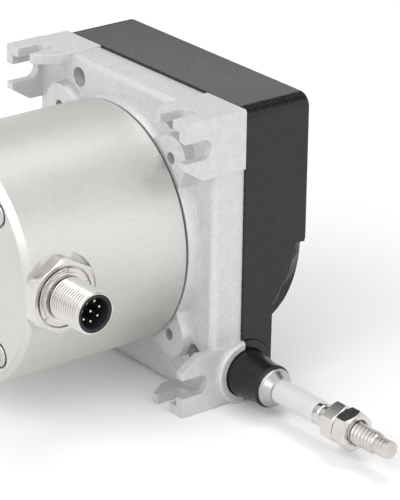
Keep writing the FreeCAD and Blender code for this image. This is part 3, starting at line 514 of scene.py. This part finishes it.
def pattern_group(pattern):
    """The node group of a pattern: a vector and two scales give its marks and its tone."""
    title, draw = PATTERNS[pattern]
    if title in bpy.data.node_groups:
        return bpy.data.node_groups[title]
    tree = bpy.data.node_groups.new(title, "ShaderNodeTree")
    tree.interface.new_socket("Vector", in_out="INPUT", socket_type="NodeSocketVector")
    for name, way in (("Scale", "INPUT"), ("Patches", "INPUT"), ("Marks", "OUTPUT"), ("Tone", "OUTPUT")):
        tree.interface.new_socket(name, in_out=way, socket_type="NodeSocketFloat")
    start = tree.nodes.new("NodeGroupInput").outputs
    marks, tone = draw(tree, start["Vector"], start["Scale"], start["Patches"])
    node(tree, "NodeGroupOutput", {"Marks": marks, "Tone": tone})
    return tree

# How each turning line is moved and turned onto the local X axis of the marks
LINE_TURNS = {
    "drum": ((0, 0, -AXIS_Z * MM), (0, 0, 0)),
    "connector": ((0, -CONNECTOR_X * MM, -AXIS_Z * MM), (0, 0, math.pi / 2)),
    "wire": ((0, -WIRE_X * MM, -WIRE_Z * MM), (0, 0, math.pi / 2)),
}


def surface(name, base, tone_shift, metallic, rough, bump, depth, pattern, scale, patches,
            line="drum", specular=0.5, tone_share=0.4, dull_edge=None):
    """A finish whose colour, roughness and relief come from turning marks or from a skin."""
    material = bpy.data.materials.new(name)
    tree = emptied(material)
    moved, turn = LINE_TURNS[line]
    where = node(tree, "ShaderNodeTexCoord").outputs["Object"]
    centred = node(tree, "ShaderNodeMapping", {"Vector": where, "Location": moved, "Rotation": turn})
    marks, tone = node(tree, "ShaderNodeGroup", {0: centred.outputs[0], 1: scale, 2: patches},
                       node_tree=pattern_group(pattern)).outputs
    blend = node(tree, "ShaderNodeMix", {0: tone_share, 2: marks, 3: tone}).outputs[0]
    light = [min(1.0, channel * (1 + tone_shift)) for channel in base]
    dark = [channel * (1 - tone_shift) for channel in base]
    tint = node(tree, "ShaderNodeMix", {0: ranged(tree, blend, *TINT_SPAN), 6: (*dark, 1), 7: (*light, 1)},
                data_type="RGBA")
    gloss = ranged(tree, marks, *GLOSS_SPAN, *rough)
    if dull_edge:
        facing = node(tree, "ShaderNodeLayerWeight", {"Blend": 0.5}).outputs["Facing"]
        gloss = ranged(tree, facing, *DULL_VIEW, gloss, dull_edge)
    relief = node(tree, "ShaderNodeBump", {"Height": marks, "Strength": bump, "Distance": depth * MM})
    shader = node(tree, "ShaderNodeBsdfPrincipled", {
        "Base Color": tint.outputs[2], "Roughness": gloss, "Normal": relief.outputs[0],
        "Metallic": metallic, "Specular IOR Level": specular})
    node(tree, "ShaderNodeOutputMaterial", {"Surface": shader.outputs[0]})
    return material


def finish_material(finish):
    """The material of a finish of the table; a colour that is a text is read from the settings."""
    title = finish.replace("_", " ").title()
    if title in bpy.data.materials:
        return bpy.data.materials[title]
    base, *values = FINISHES[finish]
    further = values.pop() if isinstance(values[-1], dict) else {}
    base = attrgetter(base)(settings()) if isinstance(base, str) else base
    return surface(title, base, *values, **further)


# Colour, tone shift, metallic, roughness from and to, relief and its depth in millimetres,
# pattern, scale of its marks, scale of its patches, and what else differs from a plain surface
FINISHES = {
    "cast_metal": ("housing.cast_colour", 0.08, 0.35, (0.40, 0.56), 0.6, 0.035, "skin", 1900, 330,
                   {"tone_share": 0.3}),
    "cover_plastic": ("housing.cover_colour", 0.25, 0.0, (0.19, 0.36), 0.8, 0.05, "skin", 1300, 300,
                      {"specular": 0.40, "tone_share": 0.25, "dull_edge": 0.95}),
    "screw_steel": ("housing.screw_colour", 0.08, 1.0, (0.22, 0.36), 0.2, 0.01, "skin", 5200, 300),
    "can_metal": ("encoder.metal_colour", 0.06, 0.95, (0.50, 0.64), 0.4, 0.015, "drawn", 3000, 60,
                  {"tone_share": 0.3}),
    "cap_metal": ("encoder.metal_colour", 0.05, 1.0, (0.34, 0.46), 0.15, 0.01, "lathe", 2200, 45),
    "plain_aluminium": ((0.58, 0.58, 0.57), 0.06, 1.0, (0.3, 0.42), 0.2, 0.01, "lathe", 3000, 60),
    "polished_edge": ((0.80, 0.79, 0.77), 0.05, 1.0, (0.10, 0.20), 0.12, 0.005, "lathe", 5000, 80),
    "seal_rubber": ("encoder.seal_colour", 0.15, 0.0, (0.6, 0.75), 0.3, 0.02, "skin", 3000, 100),
    "nickel": ("connector.nickel_colour", 0.07, 1.0, (0.18, 0.30), 0.15, 0.008, "lathe", 5000, 140,
               {"line": "connector"}),
    "black_plastic": ("connector.insert_colour", 0.2, 0.0, (0.45, 0.6), 0.3, 0.015, "skin", 4500, 150,
                      {"specular": 0.25}),
    "gold": ("connector.pin_colour", 0.08, 1.0, (0.18, 0.3), 0.1, 0.005, "lathe", 6000, 300,
             {"line": "connector"}),
    "gland_plastic": ("wire.gland_colour", 0.25, 0.0, (0.26, 0.40), 0.3, 0.015, "skin", 2200, 160,
                      {"specular": 0.35}),
    "polished_steel": ((0.45, 0.455, 0.463), 0.06, 1.0, (0.25, 0.36), 0.08, 0.004, "lathe", 6000, 150,
                       {"line": "wire"}),
    "sleeve_plastic": ("wire.sleeve_colour", 0.03, 0.0, (0.45, 0.55), 0.2, 0.01, "skin", 3500, 140),
    "end_steel": ("wire.steel_colour", 0.07, 1.0, (0.13, 0.22), 0.12, 0.004, "lathe", 5000, 200,
                  {"line": "wire"}),
    "rolled_steel": ((0.60, 0.578, 0.556), 0.10, 1.0, (0.30, 0.42), 0.2, 0.006, "lathe", 5000, 200,
                     {"line": "wire"}),
    "wire_steel": ((0.5, 0.49, 0.47), 0.1, 1.0, (0.25, 0.38), 0.2, 0.01, "skin", 6000, 400),
    "spring_steel": ((0.30, 0.32, 0.36), 0.1, 1.0, (0.25, 0.4), 0.15, 0.01, "skin", 3000, 120),
    "bearing_steel": ((0.55, 0.55, 0.54), 0.05, 1.0, (0.1, 0.22), 0.08, 0.005, "lathe", 5000, 150),
    "plain_brass": ((0.62, 0.47, 0.22), 0.07, 1.0, (0.22, 0.34), 0.15, 0.01, "lathe", 4000, 150),
    "board_green": ((0.02, 0.13, 0.05), 0.12, 0.0, (0.25, 0.38), 0.2, 0.01, "skin", 3000, 200),
    "guide_ceramic": ((0.72, 0.70, 0.64), 0.04, 0.0, (0.12, 0.22), 0.1, 0.005, "skin", 4000, 200),
    "disc_glass": ((0.32, 0.36, 0.38), 0.1, 0.0, (0.08, 0.15), 0.05, 0.002, "lathe", 5000, 200),
}


# Pieces

class DRAWWIRE_OT_housing(bpy.types.Operator):
    """Build the cast housing with softened edges"""
    bl_idname = "drawwire.housing"
    bl_label = "Cast Housing"

    def execute(self, context):
        piece = rounded_copy("housing", "housing_casting", settings().housing.edge_round)
        dress(piece, "cast_metal", "body", ("housing",))
        return {"FINISHED"}


class DRAWWIRE_OT_cover(bpy.types.Operator):
    """Build the black spring cover with softened edges"""
    bl_idname = "drawwire.cover"
    bl_label = "Spring Cover"

    def execute(self, context):
        own = settings().housing
        piece = rounded_copy("spring_cover", "cover_moulding", own.cover_edge_round)
        sharpen_crown(piece.data, own.crown_round)
        dress(piece, "cover_plastic", "body", ("spring_cover",), sharp=25.0)
        return {"FINISHED"}


def sharpen_crown(mesh, radius):
    """Tighten the round along the two upper edges of the cover from the CAD radius to the given one."""
    low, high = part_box("spring_cover")
    old = CROWN_ROUND * MM
    slack, inner_share = 1e-6, 0.7
    bm = bmesh.new()
    bm.from_mesh(mesh)
    for side in (-1, 1):
        for vert in bm.verts:
            across = side * vert.co.y - (high.y - old)
            up = vert.co.z - (high.z - old)
            reach = math.hypot(max(across, 0), max(up, 0))
            if across < -slack or up < -slack or reach < inner_share * old:
                continue
            shift = Vector((0, side * (1 - across / reach), 1 - up / reach)) * (old - radius)
            bmesh.ops.translate(bm, vec=shift, verts=[vert])
    bm.to_mesh(mesh)
    bm.free()


class DRAWWIRE_OT_ejector_marks(bpy.types.Operator):
    """Build the faint round marks that the die's pins leave on the casting"""
    bl_idname = "drawwire.ejector_marks"
    bl_label = "Ejector Marks"

    def execute(self, context):
        radius = settings().housing.mark_radius / MM
        marks = []
        for face, y, z, share in EJECTOR_MARKS:
            size = radius * share
            foot, rim, floor = face - 0.3, face + 0.07, face + 0.03
            mark = turned([(foot, 0), (foot, size, 0.03), (rim, size, 0.06), (rim, size - 0.3, 0.06),
                           (floor, size - 0.4), (floor, 0)], steps=40)
            mirrored = Matrix.Diagonal((-MM, MM, MM, 1)) @ Matrix.Rotation(math.radians(90), 4, "Y")
            bmesh.ops.transform(mark, matrix=Matrix.Translation((0, y * MM, z * MM)) @ mirrored,
                                verts=mark.verts)
            bmesh.ops.reverse_faces(mark, faces=mark.faces)
            marks.append(mark)
        dress(new_object("ejector_marks", joined(marks)), "cast_metal", "body")
        return {"FINISHED"}


class DRAWWIRE_OT_cover_screws(bpy.types.Operator):
    """Build the socket screws of the cover"""
    bl_idname = "drawwire.cover_screws"
    bl_label = "Cover Screws"

    def execute(self, context):
        low, high = in_mm(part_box("cover_screws"))
        head, seat, end = low.x, low.x + 2.4, high.x
        wide, thin = 2.65, 1.5
        for i, (y, z) in enumerate(screw_places()):
            bm = turned([(head, 0), (head, wide, 0.25), (seat, wide), (seat, thin), (end, thin), (end, 0)],
                        steps=40)
            bm = cut(bm, prism(head - 1, head + 1.4, 2.5))
            line = (Vector((0, y, z)), X_AXIS)
            place(f"cover_screw_{i + 1}", bm, line, "screw_steel", "body",
                  ("cover_screws",) if i == 0 else (), weighted=False)
        return {"FINISHED"}


def screw_places():
    """Places of the four cover screws, read from the CAD node."""
    verts = [v.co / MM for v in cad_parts["cover_screws"].data.vertices]
    places = []
    for side, half in ((-1, -1), (-1, 1), (1, -1), (1, 1)):
        group = [v for v in verts if v.y * side > 0 and (v.z - AXIS_Z) * half > 0]
        ys, zs = [v.y for v in group], [v.z for v in group]
        places.append(((min(ys) + max(ys)) / 2, (min(zs) + max(zs)) / 2))
    return places


class DRAWWIRE_OT_encoder(bpy.types.Operator):
    """Build the turned can, its end cap, the tie bolts and the seal"""
    bl_idname = "drawwire.encoder"
    bl_label = "Encoder Can"

    def execute(self, context):
        own = settings().encoder
        radius = (CAN_HIGH.z - CAN_LOW.z) / 2
        wall, play = 3.0, 0.02
        back, front = CAP_LOW.x, CAN_HIGH.x
        seam = back + 1.8
        seat = -NUT_HIGH.y
        flat_line = line_matrix(DRUM_LINE).inverted() @ line_matrix(CONNECTOR_LINE)

        def cross_rod(start, end, size, steps):
            """A round tool on the connector's line."""
            tool = rod(start, end, size, steps)
            bmesh.ops.transform(tool, matrix=flat_line, verts=tool.verts)
            return tool

        can = turned([(seam, radius - wall), (seam, radius), (front - 0.25, radius), (front, radius - 0.25),
                      (front, radius - wall)], steps=192)
        spot = own.spotface_radius / MM
        can = cut(can, cross_rod(seat, seat + 20, spot, 96), cross_rod(seat - 12, seat + 6, SHELL_HOLE, 64))
        place("can_wall", can, DRUM_LINE, "can_metal", "body", ("encoder_can",))

        chamfer = own.chamfer / MM
        rim, spigot, hollow = seam - play, radius - wall - 0.1, radius - 6
        cap = turned([(back, 0), (back, radius - chamfer, 0.15), (back + chamfer, radius, 0.12),
                      (rim, radius), (rim, spigot), (seam + 1.5, spigot), (seam + 1.5, hollow),
                      (rim, hollow), (rim, 0)], steps=192)
        circle, head = own.bolt_circle / MM, own.bolt_head_radius / MM
        floor = back + 1.3
        pockets = copies_around(rod(back - 1, floor, head + 0.55, 48), 4, circle, 45)
        cap = cut(cap, cross_rod(seat, seat + 20, spot, 96), pockets)
        for face in cap.faces:
            middle = face.calc_center_median()
            reach = math.hypot(middle.x, middle.y)
            bevelled = back + 0.1 < middle.z < back + chamfer and radius - chamfer < reach < radius - 0.02
            face.material_index = 1 if bevelled and abs(face.normal.z) > 0.3 else 0
        plate = place("end_cap_plate", cap, DRUM_LINE, "cap_metal", "body", ("encoder_end_cap",))
        plate.data.materials.append(finish_material("polished_edge"))

        bolt = turned([(back - 0.4, 0), (back - 0.4, head, 0.35), (floor, head), (floor, 0)], steps=48)
        bolt = cut(bolt, star(back - 1, back + 0.9, 1.95, turn=10))
        bolts = copies_around(joined([bolt, rod(back + 1.2, -16.2, 1.5, 24)]), 4, circle, 45)
        place("tie_bolt_set", bolts, DRUM_LINE, "screw_steel", "body", ("tie_bolts",), weighted=False)

        low, high = in_mm(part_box("encoder_seal"))
        outer, middle = (high.z - low.z) / 2, (low.x + high.x) / 2
        seal = turned([(low.x, outer - 2), (low.x, outer - 0.2), (middle, outer), (high.x, outer - 0.2),
                       (high.x, outer - 2)], steps=160)
        place("seal_ring", seal, DRUM_LINE, "seal_rubber", "body", ("encoder_seal",))
        return {"FINISHED"}


class DRAWWIRE_OT_connector(bpy.types.Operator):
    """Build the connector: nut, stepped ring, threaded shell, insert and pins"""
    bl_idname = "drawwire.connector"
    bl_label = "Connector"

    def execute(self, context):
        own = settings().connector
        seat, top = -NUT_HIGH.y, -NUT_LOW.y
        bottom = top - 1.2
        corner = own.nut_corner_radius / MM
        envelope = turned([(seat, 0), (seat, corner - 0.3), (seat + 0.4, corner), (top - 0.75, corner),
                           (top, corner - 1.25), (top, 0)], steps=128)
        nut = combine(prism(seat, top, own.nut_flats / MM), envelope, "INTERSECT")
        recess = turned([(bottom, 0), (bottom, 8.5), (top - 0.15, 8.5), (top + 1, 9.65), (top + 1, 0)])
        nut = cut(nut, recess, rod(seat - 1, top + 1, SHELL_HOLE, 64))
        place("connector_hex_nut", soften(nut, 0.10, 28), CONNECTOR_LINE, "nickel", "body",
              ("connector_nut",))

        step, free = bottom + 1.4, bottom + 2.1
        ring = turned([(bottom, SHELL_HOLE), (bottom, 8.1), (step, 8.1, 0.15), (step, 7.0),
                       (free, 7.0, 0.12), (free, SHELL_HOLE, 0.1)])
        notches = copies(block((1.3, 2.4, 1.0), (7.9, 0, bottom + 1.5)),
                         [Matrix.Rotation(math.radians(60 * i), 4, "Z") for i in range(6)])
        place("connector_step_ring", cut(ring, notches), CONNECTOR_LINE, "nickel", "body",
              ("connector_ring",))

        face, foot = -SHELL_LOW.y, -SHELL_HIGH.y
        thread = helix(free - 0.5, face, 6.0, own.pitch / MM, steps=64)
        shape = turned([(free - 0.5, 0), (free - 0.5, 5.4), (free, 5.4), (free + 0.6, 6.0),
                        (face - 0.55, 6.0), (face, 5.62), (face, 0)])
        thread = cut(combine(thread, shape, "INTERSECT"), rod(face - 10, face + 1, 5.3, 96))
        back = turned([(foot, 4.0), (foot, 5.0), (seat - 3, 5.0), (seat - 3, 5.35), (free - 0.3, 5.35),
                       (free - 0.3, 4.0)], steps=64)
        place("connector_barrel", joined([thread, back]), CONNECTOR_LINE, "nickel", "body",
              ("connector_shell",))

        rim = face - 0.1
        floor = rim - 8.0
        well = 4.3
        insert = turned([(floor - 2, 0), (floor - 2, 5.28), (rim, 5.28, 0.12), (rim, well, 0.15),
                         (floor, well), (floor, 0)])
        key = block((1.0, 1.1, 7.6), (well - 0.15, 0, rim - 0.3 - 3.8))
        insert = combine(insert, key, "UNION")
        stub = rod(foot + 2, floor - 2.02, 3.95, 48)
        place("connector_socket", joined([insert, stub]), CONNECTOR_LINE, "black_plastic", "body",
              ("connector_insert",))

        tip = rim - 1.8
        ring_pin, centre_pin = (turned([(floor, 0), (floor, 0.42), (tip, 0.42, 0.3), (tip, 0)], steps=20)
                                for _ in range(2))
        ring_pins = copies_around(ring_pin, own.pin_count, own.pin_circle / MM, 180.0 / own.pin_count)
        place("connector_pins", joined([ring_pins, centre_pin]), CONNECTOR_LINE, "gold", "body",
              ("contact_pins",), weighted=False)
        return {"FINISHED"}


class DRAWWIRE_OT_wire_exit(bpy.types.Operator):
    """Build the black gland and the polished nozzle"""
    bl_idname = "drawwire.wire_exit"
    bl_label = "Wire Exit"

    def execute(self, context):
        back, tip = -GLAND_HIGH.y, -GLAND_LOW.y
        radius = (GLAND_HIGH.z - GLAND_LOW.z) / 2
        gland = turned([(back, 2.4), (back, radius), (tip - 9.5, radius, 0.4),
                        (tip - 2.3, radius - 0.95, 0.5), (tip - 1.6, radius - 0.6, 0.25),
                        (tip - 0.35, radius - 0.6, 0.3), (tip, radius - 1.15, 0.15), (tip, 4.35),
                        (tip - 6.5, 4.35), (tip - 6.5, 2.4)], steps=128, round_segments=4)
        place("gland_sleeve", gland, WIRE_LINE, "gland_plastic", "body", ("wire_gland",))
        end = -NOZZLE_LOW.y
        nozzle = turned([(tip - 6.2, 0.65), (tip - 6.2, 4.25), (tip, 4.25), (tip, 5.5, 0.1),
                         (tip + 0.7, 5.5, 0.18), (tip + 0.85, 5.1, 0.1), (end, 3.5, 0.2), (end, 1.3, 0.3),
                         (end - 1.2, 0.65)], steps=128, round_segments=4)
        place("nozzle_cone", nozzle, WIRE_LINE, "polished_steel", "body", ("wire_nozzle",))
        return {"FINISHED"}


class DRAWWIRE_OT_wire(bpy.types.Operator):
    """Build the stranded wire between the housing and its end fitting"""
    bl_idname = "drawwire.wire"
    bl_label = "Draw Wire"

    def execute(self, context):
        own = settings().wire
        hair, inset = 0.995, 0.3
        strand = own.wire_radius / MM / 3 * hair
        start, end = -WIRE_HIGH.y + inset, -WIRE_LOW.y - inset
        turns = (end - start) / (own.strand_pitch / MM)
        count = round(STEPS_PER_LAY * turns)
        strands = []
        for i in range(6):
            bm = bmesh.new()
            angle = math.radians(60 * i)
            spot = Matrix.Translation((2 * strand * math.cos(angle), 2 * strand * math.sin(angle), start))
            ring = bmesh.ops.create_circle(bm, cap_ends=True, segments=7, radius=strand, matrix=spot)
            faces = list({face for vert in ring["verts"] for face in vert.link_faces})
            bmesh.ops.spin(bm, geom=ring["verts"] + bm.edges[:] + faces, cent=(0, 0, 0),
                           axis=(0, 0, 1), dvec=(0, 0, (end - start) / count),
                           angle=2 * math.pi * turns, steps=count, use_merge=False)
            merge_and_face_out(bm, 0.0002)
            strands.append(bm)
        rope = place("wire_rope", joined(strands), WIRE_LINE, "wire_steel", None, ("draw_wire",),
                     sharp=60.0, weighted=False)
        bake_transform(rope)
        return {"FINISHED"}


class DRAWWIRE_OT_end_fitting(bpy.types.Operator):
    """Build the white stop sleeve, the threaded stud and the lock nut"""
    bl_idname = "drawwire.end_fitting"
    bl_label = "End Fitting"

    def execute(self, context):
        own = settings().wire
        flats, pitch = own.flats / MM, own.pitch / MM
        start, end = -SLEEVE_HIGH.y, -SLEEVE_LOW.y
        radius = (SLEEVE_HIGH.z - SLEEVE_LOW.z) / 2
        sleeve = turned([(start, 0.65), (start, radius - 0.1, 0.08), (end - 0.3, radius, 0.15),
                         (end, radius - 0.3, 0.1), (end, 1.65), (start + 1, 1.65), (start + 1, 0.65)])
        place("stop_sleeve_white", sleeve, WIRE_LINE, "sleeve_plastic", "wire_end", ("stop_sleeve",))

        hex_end = -LOCK_HIGH.y - 0.1
        hex_start = hex_end - 4.5
        collars = [(end + along, size, 0.1) for along, size in STUD_COLLARS]
        neck = turned([(end - 5, 0), (end - 5, 1.6), (end, 1.6), (end, 3.2, 0.1), *collars,
                       (hex_start + 0.3, 3.0), (hex_start + 0.3, 0)], steps=80)
        hexagon = soften(chamfered_hex(hex_start, hex_end, flats, 26 - 90), 0.07, 20)
        place("end_stud", joined([neck, hexagon]), WIRE_LINE, "end_steel", "wire_end",
              ("threaded_stud",), sharp=28.0)

        root, tip = hex_end - 0.3, -STUD_LOW.y
        dog = tip - 4.8
        thread = helix(root, dog, 3.0, pitch, depth=0.34)
        dog_ridges = helix(dog - 0.6, tip, 2.5, pitch, depth=0.07)
        envelope = turned([(root, 0), (root, 3.02), (dog - 0.9, 3.02), (dog + 0.3, 2.5),
                           (tip - 0.2, 2.5), (tip, 2.3), (tip, 0)])
        thread = combine(combine(thread, dog_ridges, "UNION"), envelope, "INTERSECT")
        place("end_thread", thread, WIRE_LINE, "rolled_steel", "wire_end", sharp=28.0)

        lock_end = -LOCK_LOW.y
        lock = chamfered_hex(hex_end + 0.1, lock_end, flats, 15 - 90, 0.93, 40.0)
        sink = turned([(lock_end - 1.6, 0), (lock_end - 1.6, 3.2), (lock_end - 0.5, 3.3), (lock_end, 3.75),
                       (lock_end + 1, 4.75), (lock_end + 1, 0)])
        bore = turned([(hex_end - 1, 0), (hex_end - 1, 3.7), (hex_end + 0.1, 3.6), (hex_end + 1, 2.75),
                       (lock_end + 0.5, 2.75), (lock_end + 0.5, 0)])
        lock = soften(cut(lock, sink, bore), 0.07, 20)
        place("end_lock_nut", lock, WIRE_LINE, "end_steel", "wire_end", ("lock_nut",), sharp=28.0)
        return {"FINISHED"}


INNER_FINISHES = {
    "plain_aluminium": ("wire_drum", "encoder_flange"),
    "wire_steel": ("wire_winding",),
    "bearing_steel": ("drum_shaft", "drum_front_bearing_outer", "drum_front_bearing_inner",
                      "drum_rear_bearing_outer", "drum_rear_bearing_inner", "encoder_bearings_outer",
                      "encoder_bearings_inner", "encoder_shaft"),
    "spring_steel": ("retaining_ring", "spiral_spring"),
    "black_plastic": ("spring_cassette", "spring_arbor", "optical_reader"),
    "disc_glass": ("code_disc",),
    "board_green": ("sensor_board",),
    "plain_brass": ("board_standoffs", "wire_ferrule"),
    "screw_steel": ("board_screws", "flange_screws"),
    "guide_ceramic": ("wire_guide",),
}


class DRAWWIRE_OT_inner_parts(bpy.types.Operator):
    """Give the parts inside their finishes"""
    bl_idname = "drawwire.inner_parts"
    bl_label = "Inner Parts"

    def execute(self, context):
        for finish, names in INNER_FINISHES.items():
            for name in names:
                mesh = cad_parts[name].data
                mesh.materials.clear()
                mesh.materials.append(finish_material(finish))
        return {"FINISHED"}


# Stage, in metres: the solved camera, the lamps, the floor and the dark cloth
CAMERA_ANGLES = (-0.6547, 0.3901, 0.0107)
CAMERA_OFFSET_MM = (-4.8356, -31.0499, 868.6279)
CAMERA_SHIFT = (0.06407, -0.01796)
CAMERA_CLIP = (0.05, 20.0)
LAMPS = (("key", (-0.95, -0.45, 0.75), 0.8), ("fill", (0.15, -1.10, 0.45), 0.7),
         ("side", (-1.20, 0.05, 1.05), 1.1), ("top", (0.32, 0.10, 1.25), 0.45))
LAMP_AIM = Vector((-0.02, -0.02, 0.04))
FLOOR_SIZE, FLOOR_HEIGHT = 9.0, -0.00005
CLOTH_RADIUS, CLOTH_HEIGHTS = 1.6, (1.08, 2.6)
CLOTH_START, CLOTH_SWEEP = -42, 120
# Where the floor's glow starts and ends, and how strong it is there
GLOW_REACH, GLOW = (0.3, 1.4), (0.05, 0.34)


class DRAWWIRE_OT_studio(bpy.types.Operator):
    """Set the camera, the lamps, the floor and the pale surroundings"""
    bl_idname = "drawwire.studio"
    bl_label = "Studio"

    def execute(self, context):
        own = settings().studio
        scene = context.scene
        scene.view_settings.view_transform = "Standard"
        camera = bpy.data.cameras.new("photo_view")
        camera.lens, camera.sensor_width = own.lens, 36.0
        camera.shift_x, camera.shift_y = CAMERA_SHIFT
        camera.clip_start, camera.clip_end = CAMERA_CLIP
        scene.camera = linked("photo_view", camera)
        scene.camera.matrix_world = camera_matrix(*CAMERA_ANGLES, CAMERA_OFFSET_MM)

        floor = bmesh.new()
        bmesh.ops.create_grid(floor, x_segments=1, y_segments=1, size=FLOOR_SIZE,
                              matrix=Matrix.Translation((0, 0, FLOOR_HEIGHT)))
        ground = new_object("floor", floor)
        ground.data.materials.append(floor_finish(own.floor_colour))

        cloth = bmesh.new()
        start = Matrix.Rotation(math.radians(CLOTH_START), 3, "Z")
        foot = [cloth.verts.new(start @ Vector((CLOTH_RADIUS, 0, height))) for height in CLOTH_HEIGHTS]
        edge = cloth.edges.new(foot)
        bmesh.ops.spin(cloth, geom=foot + [edge], cent=(0, 0, 0), axis=(0, 0, 1),
                       angle=math.radians(CLOTH_SWEEP), steps=40)
        screen = new_object("dark_cloth", cloth)
        screen.data.materials.append(screen_finish())
        screen.visible_camera = False

        for name, where, size in LAMPS:
            add_lamp(f"{name}_lamp", where, size, getattr(own, f"{name}_power"))
        scene.world = pale_world(own.sky_level)
        return {"FINISHED"}


def camera_matrix(azimuth, elevation, roll, offset):
    """Place of the camera from its solved angles and its offset in millimetres."""
    turn = (Matrix.Rotation(azimuth, 4, "Z") @ Matrix.Rotation(math.pi / 2 - elevation, 4, "X")
            @ Matrix.Rotation(roll, 4, "Z"))
    across, up, back = offset
    return turn @ Matrix.Translation((-across * MM, -up * MM, back * MM))


def add_lamp(name, where, size, power):
    """A square soft lamp that looks at the middle of the part."""
    lamp = bpy.data.lights.new(name, "AREA")
    lamp.shape, lamp.size, lamp.energy = "SQUARE", size, power
    holder = linked(name, lamp)
    aim = (LAMP_AIM - Vector(where)).to_track_quat("-Z", "Y")
    holder.matrix_world = Matrix.Translation(where) @ aim.to_matrix().to_4x4()


def shown_rays(tree):
    """A mask of the rays that show the background: camera, glossy and transmission."""
    path = node(tree, "ShaderNodeLightPath").outputs
    seen = maths(tree, "ADD", path["Is Camera Ray"], path["Is Glossy Ray"])
    return maths(tree, "ADD", seen, path["Is Transmission Ray"], use_clamp=True)


def floor_finish(base):
    """A white floor that keeps the shadow of the part and stays white far away from the lamps."""
    material = bpy.data.materials.new("studio_floor")
    tree = emptied(material)
    matte = node(tree, "ShaderNodeBsdfDiffuse", {"Color": (*base, 1)}).outputs[0]
    where = node(tree, "ShaderNodeTexCoord").outputs["Object"]
    reach = node(tree, "ShaderNodeVectorMath", {0: where}, operation="LENGTH").outputs["Value"]
    glow = node(tree, "ShaderNodeEmission", {"Color": (1, 1, 1, 1),
                                             "Strength": ranged(tree, reach, *GLOW_REACH, *GLOW)})
    both = node(tree, "ShaderNodeAddShader", {0: matte, 1: glow.outputs[0]}).outputs[0]
    pick = node(tree, "ShaderNodeMixShader", {0: shown_rays(tree), 1: matte, 2: both}).outputs[0]
    node(tree, "ShaderNodeOutputMaterial", {"Surface": pick})
    return material


def screen_finish():
    """A dark matt cloth behind the set that gives bright metal its dark reflections."""
    material = bpy.data.materials.new("studio_screen")
    tree = emptied(material)
    matte = node(tree, "ShaderNodeBsdfDiffuse", {"Color": (0.03, 0.03, 0.03, 1)})
    node(tree, "ShaderNodeOutputMaterial", {"Surface": matte.outputs[0]})
    return material


def pale_world(level):
    """Soft pale surroundings; the rays that show the background see plain white."""
    world = bpy.data.worlds.new("pale_world")
    tree = emptied(world)
    soft, white = (node(tree, "ShaderNodeBackground", {"Color": (1, 1, 1, 1), "Strength": strength})
                   for strength in (level, 1.0))
    pick = node(tree, "ShaderNodeMixShader", {0: shown_rays(tree), 1: soft.outputs[0],
                                              2: white.outputs[0]}).outputs[0]
    node(tree, "ShaderNodeOutputWorld", {"Surface": pick})
    return world


PIECE_OPERATORS = (
    DRAWWIRE_OT_housing, DRAWWIRE_OT_ejector_marks, DRAWWIRE_OT_cover, DRAWWIRE_OT_cover_screws,
    DRAWWIRE_OT_encoder, DRAWWIRE_OT_connector, DRAWWIRE_OT_wire_exit, DRAWWIRE_OT_wire,
    DRAWWIRE_OT_end_fitting, DRAWWIRE_OT_inner_parts, DRAWWIRE_OT_studio,
)


class DRAWWIRE_PT_panel(bpy.types.Panel):
    """Lists the pieces of the draw wire encoder"""
    bl_idname = "DRAWWIRE_PT_panel"
    bl_label = "Draw Wire Encoder"
    bl_space_type = "VIEW_3D"
    bl_region_type = "UI"
    bl_category = "Draw Wire"

    def draw(self, context):
        for operator in PIECE_OPERATORS:
            self.layout.operator(operator.bl_idname)
        for group in ("housing", "encoder", "connector", "wire", "studio"):
            box = self.layout.box()
            box.label(text=group.capitalize())
            own = getattr(context.scene.draw_wire, group)
            for key in own.__annotations__:
                box.prop(own, key)


CLASSES = (HousingSettings, EncoderSettings, ConnectorSettings, WireSettings, StudioSettings,
           DrawWireSettings) + PIECE_OPERATORS + (DRAWWIRE_PT_panel,)


def register():
    for cls in CLASSES:
        bpy.utils.register_class(cls)
    bpy.types.Scene.draw_wire = PointerProperty(type=DrawWireSettings)


def unregister():
    del bpy.types.Scene.draw_wire
    for cls in reversed(CLASSES):
        bpy.utils.unregister_class(cls)


def main():
    """Register the add-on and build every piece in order."""
    register()
    bpy.ops.drawwire.housing()
    bpy.ops.drawwire.ejector_marks()
    bpy.ops.drawwire.cover()
    bpy.ops.drawwire.cover_screws()
    bpy.ops.drawwire.encoder()
    bpy.ops.drawwire.connector()
    bpy.ops.drawwire.wire_exit()
    bpy.ops.drawwire.wire()
    bpy.ops.drawwire.end_fitting()
    bpy.ops.drawwire.inner_parts()
    bpy.ops.drawwire.studio()


if __name__ == "__main__":
    main()
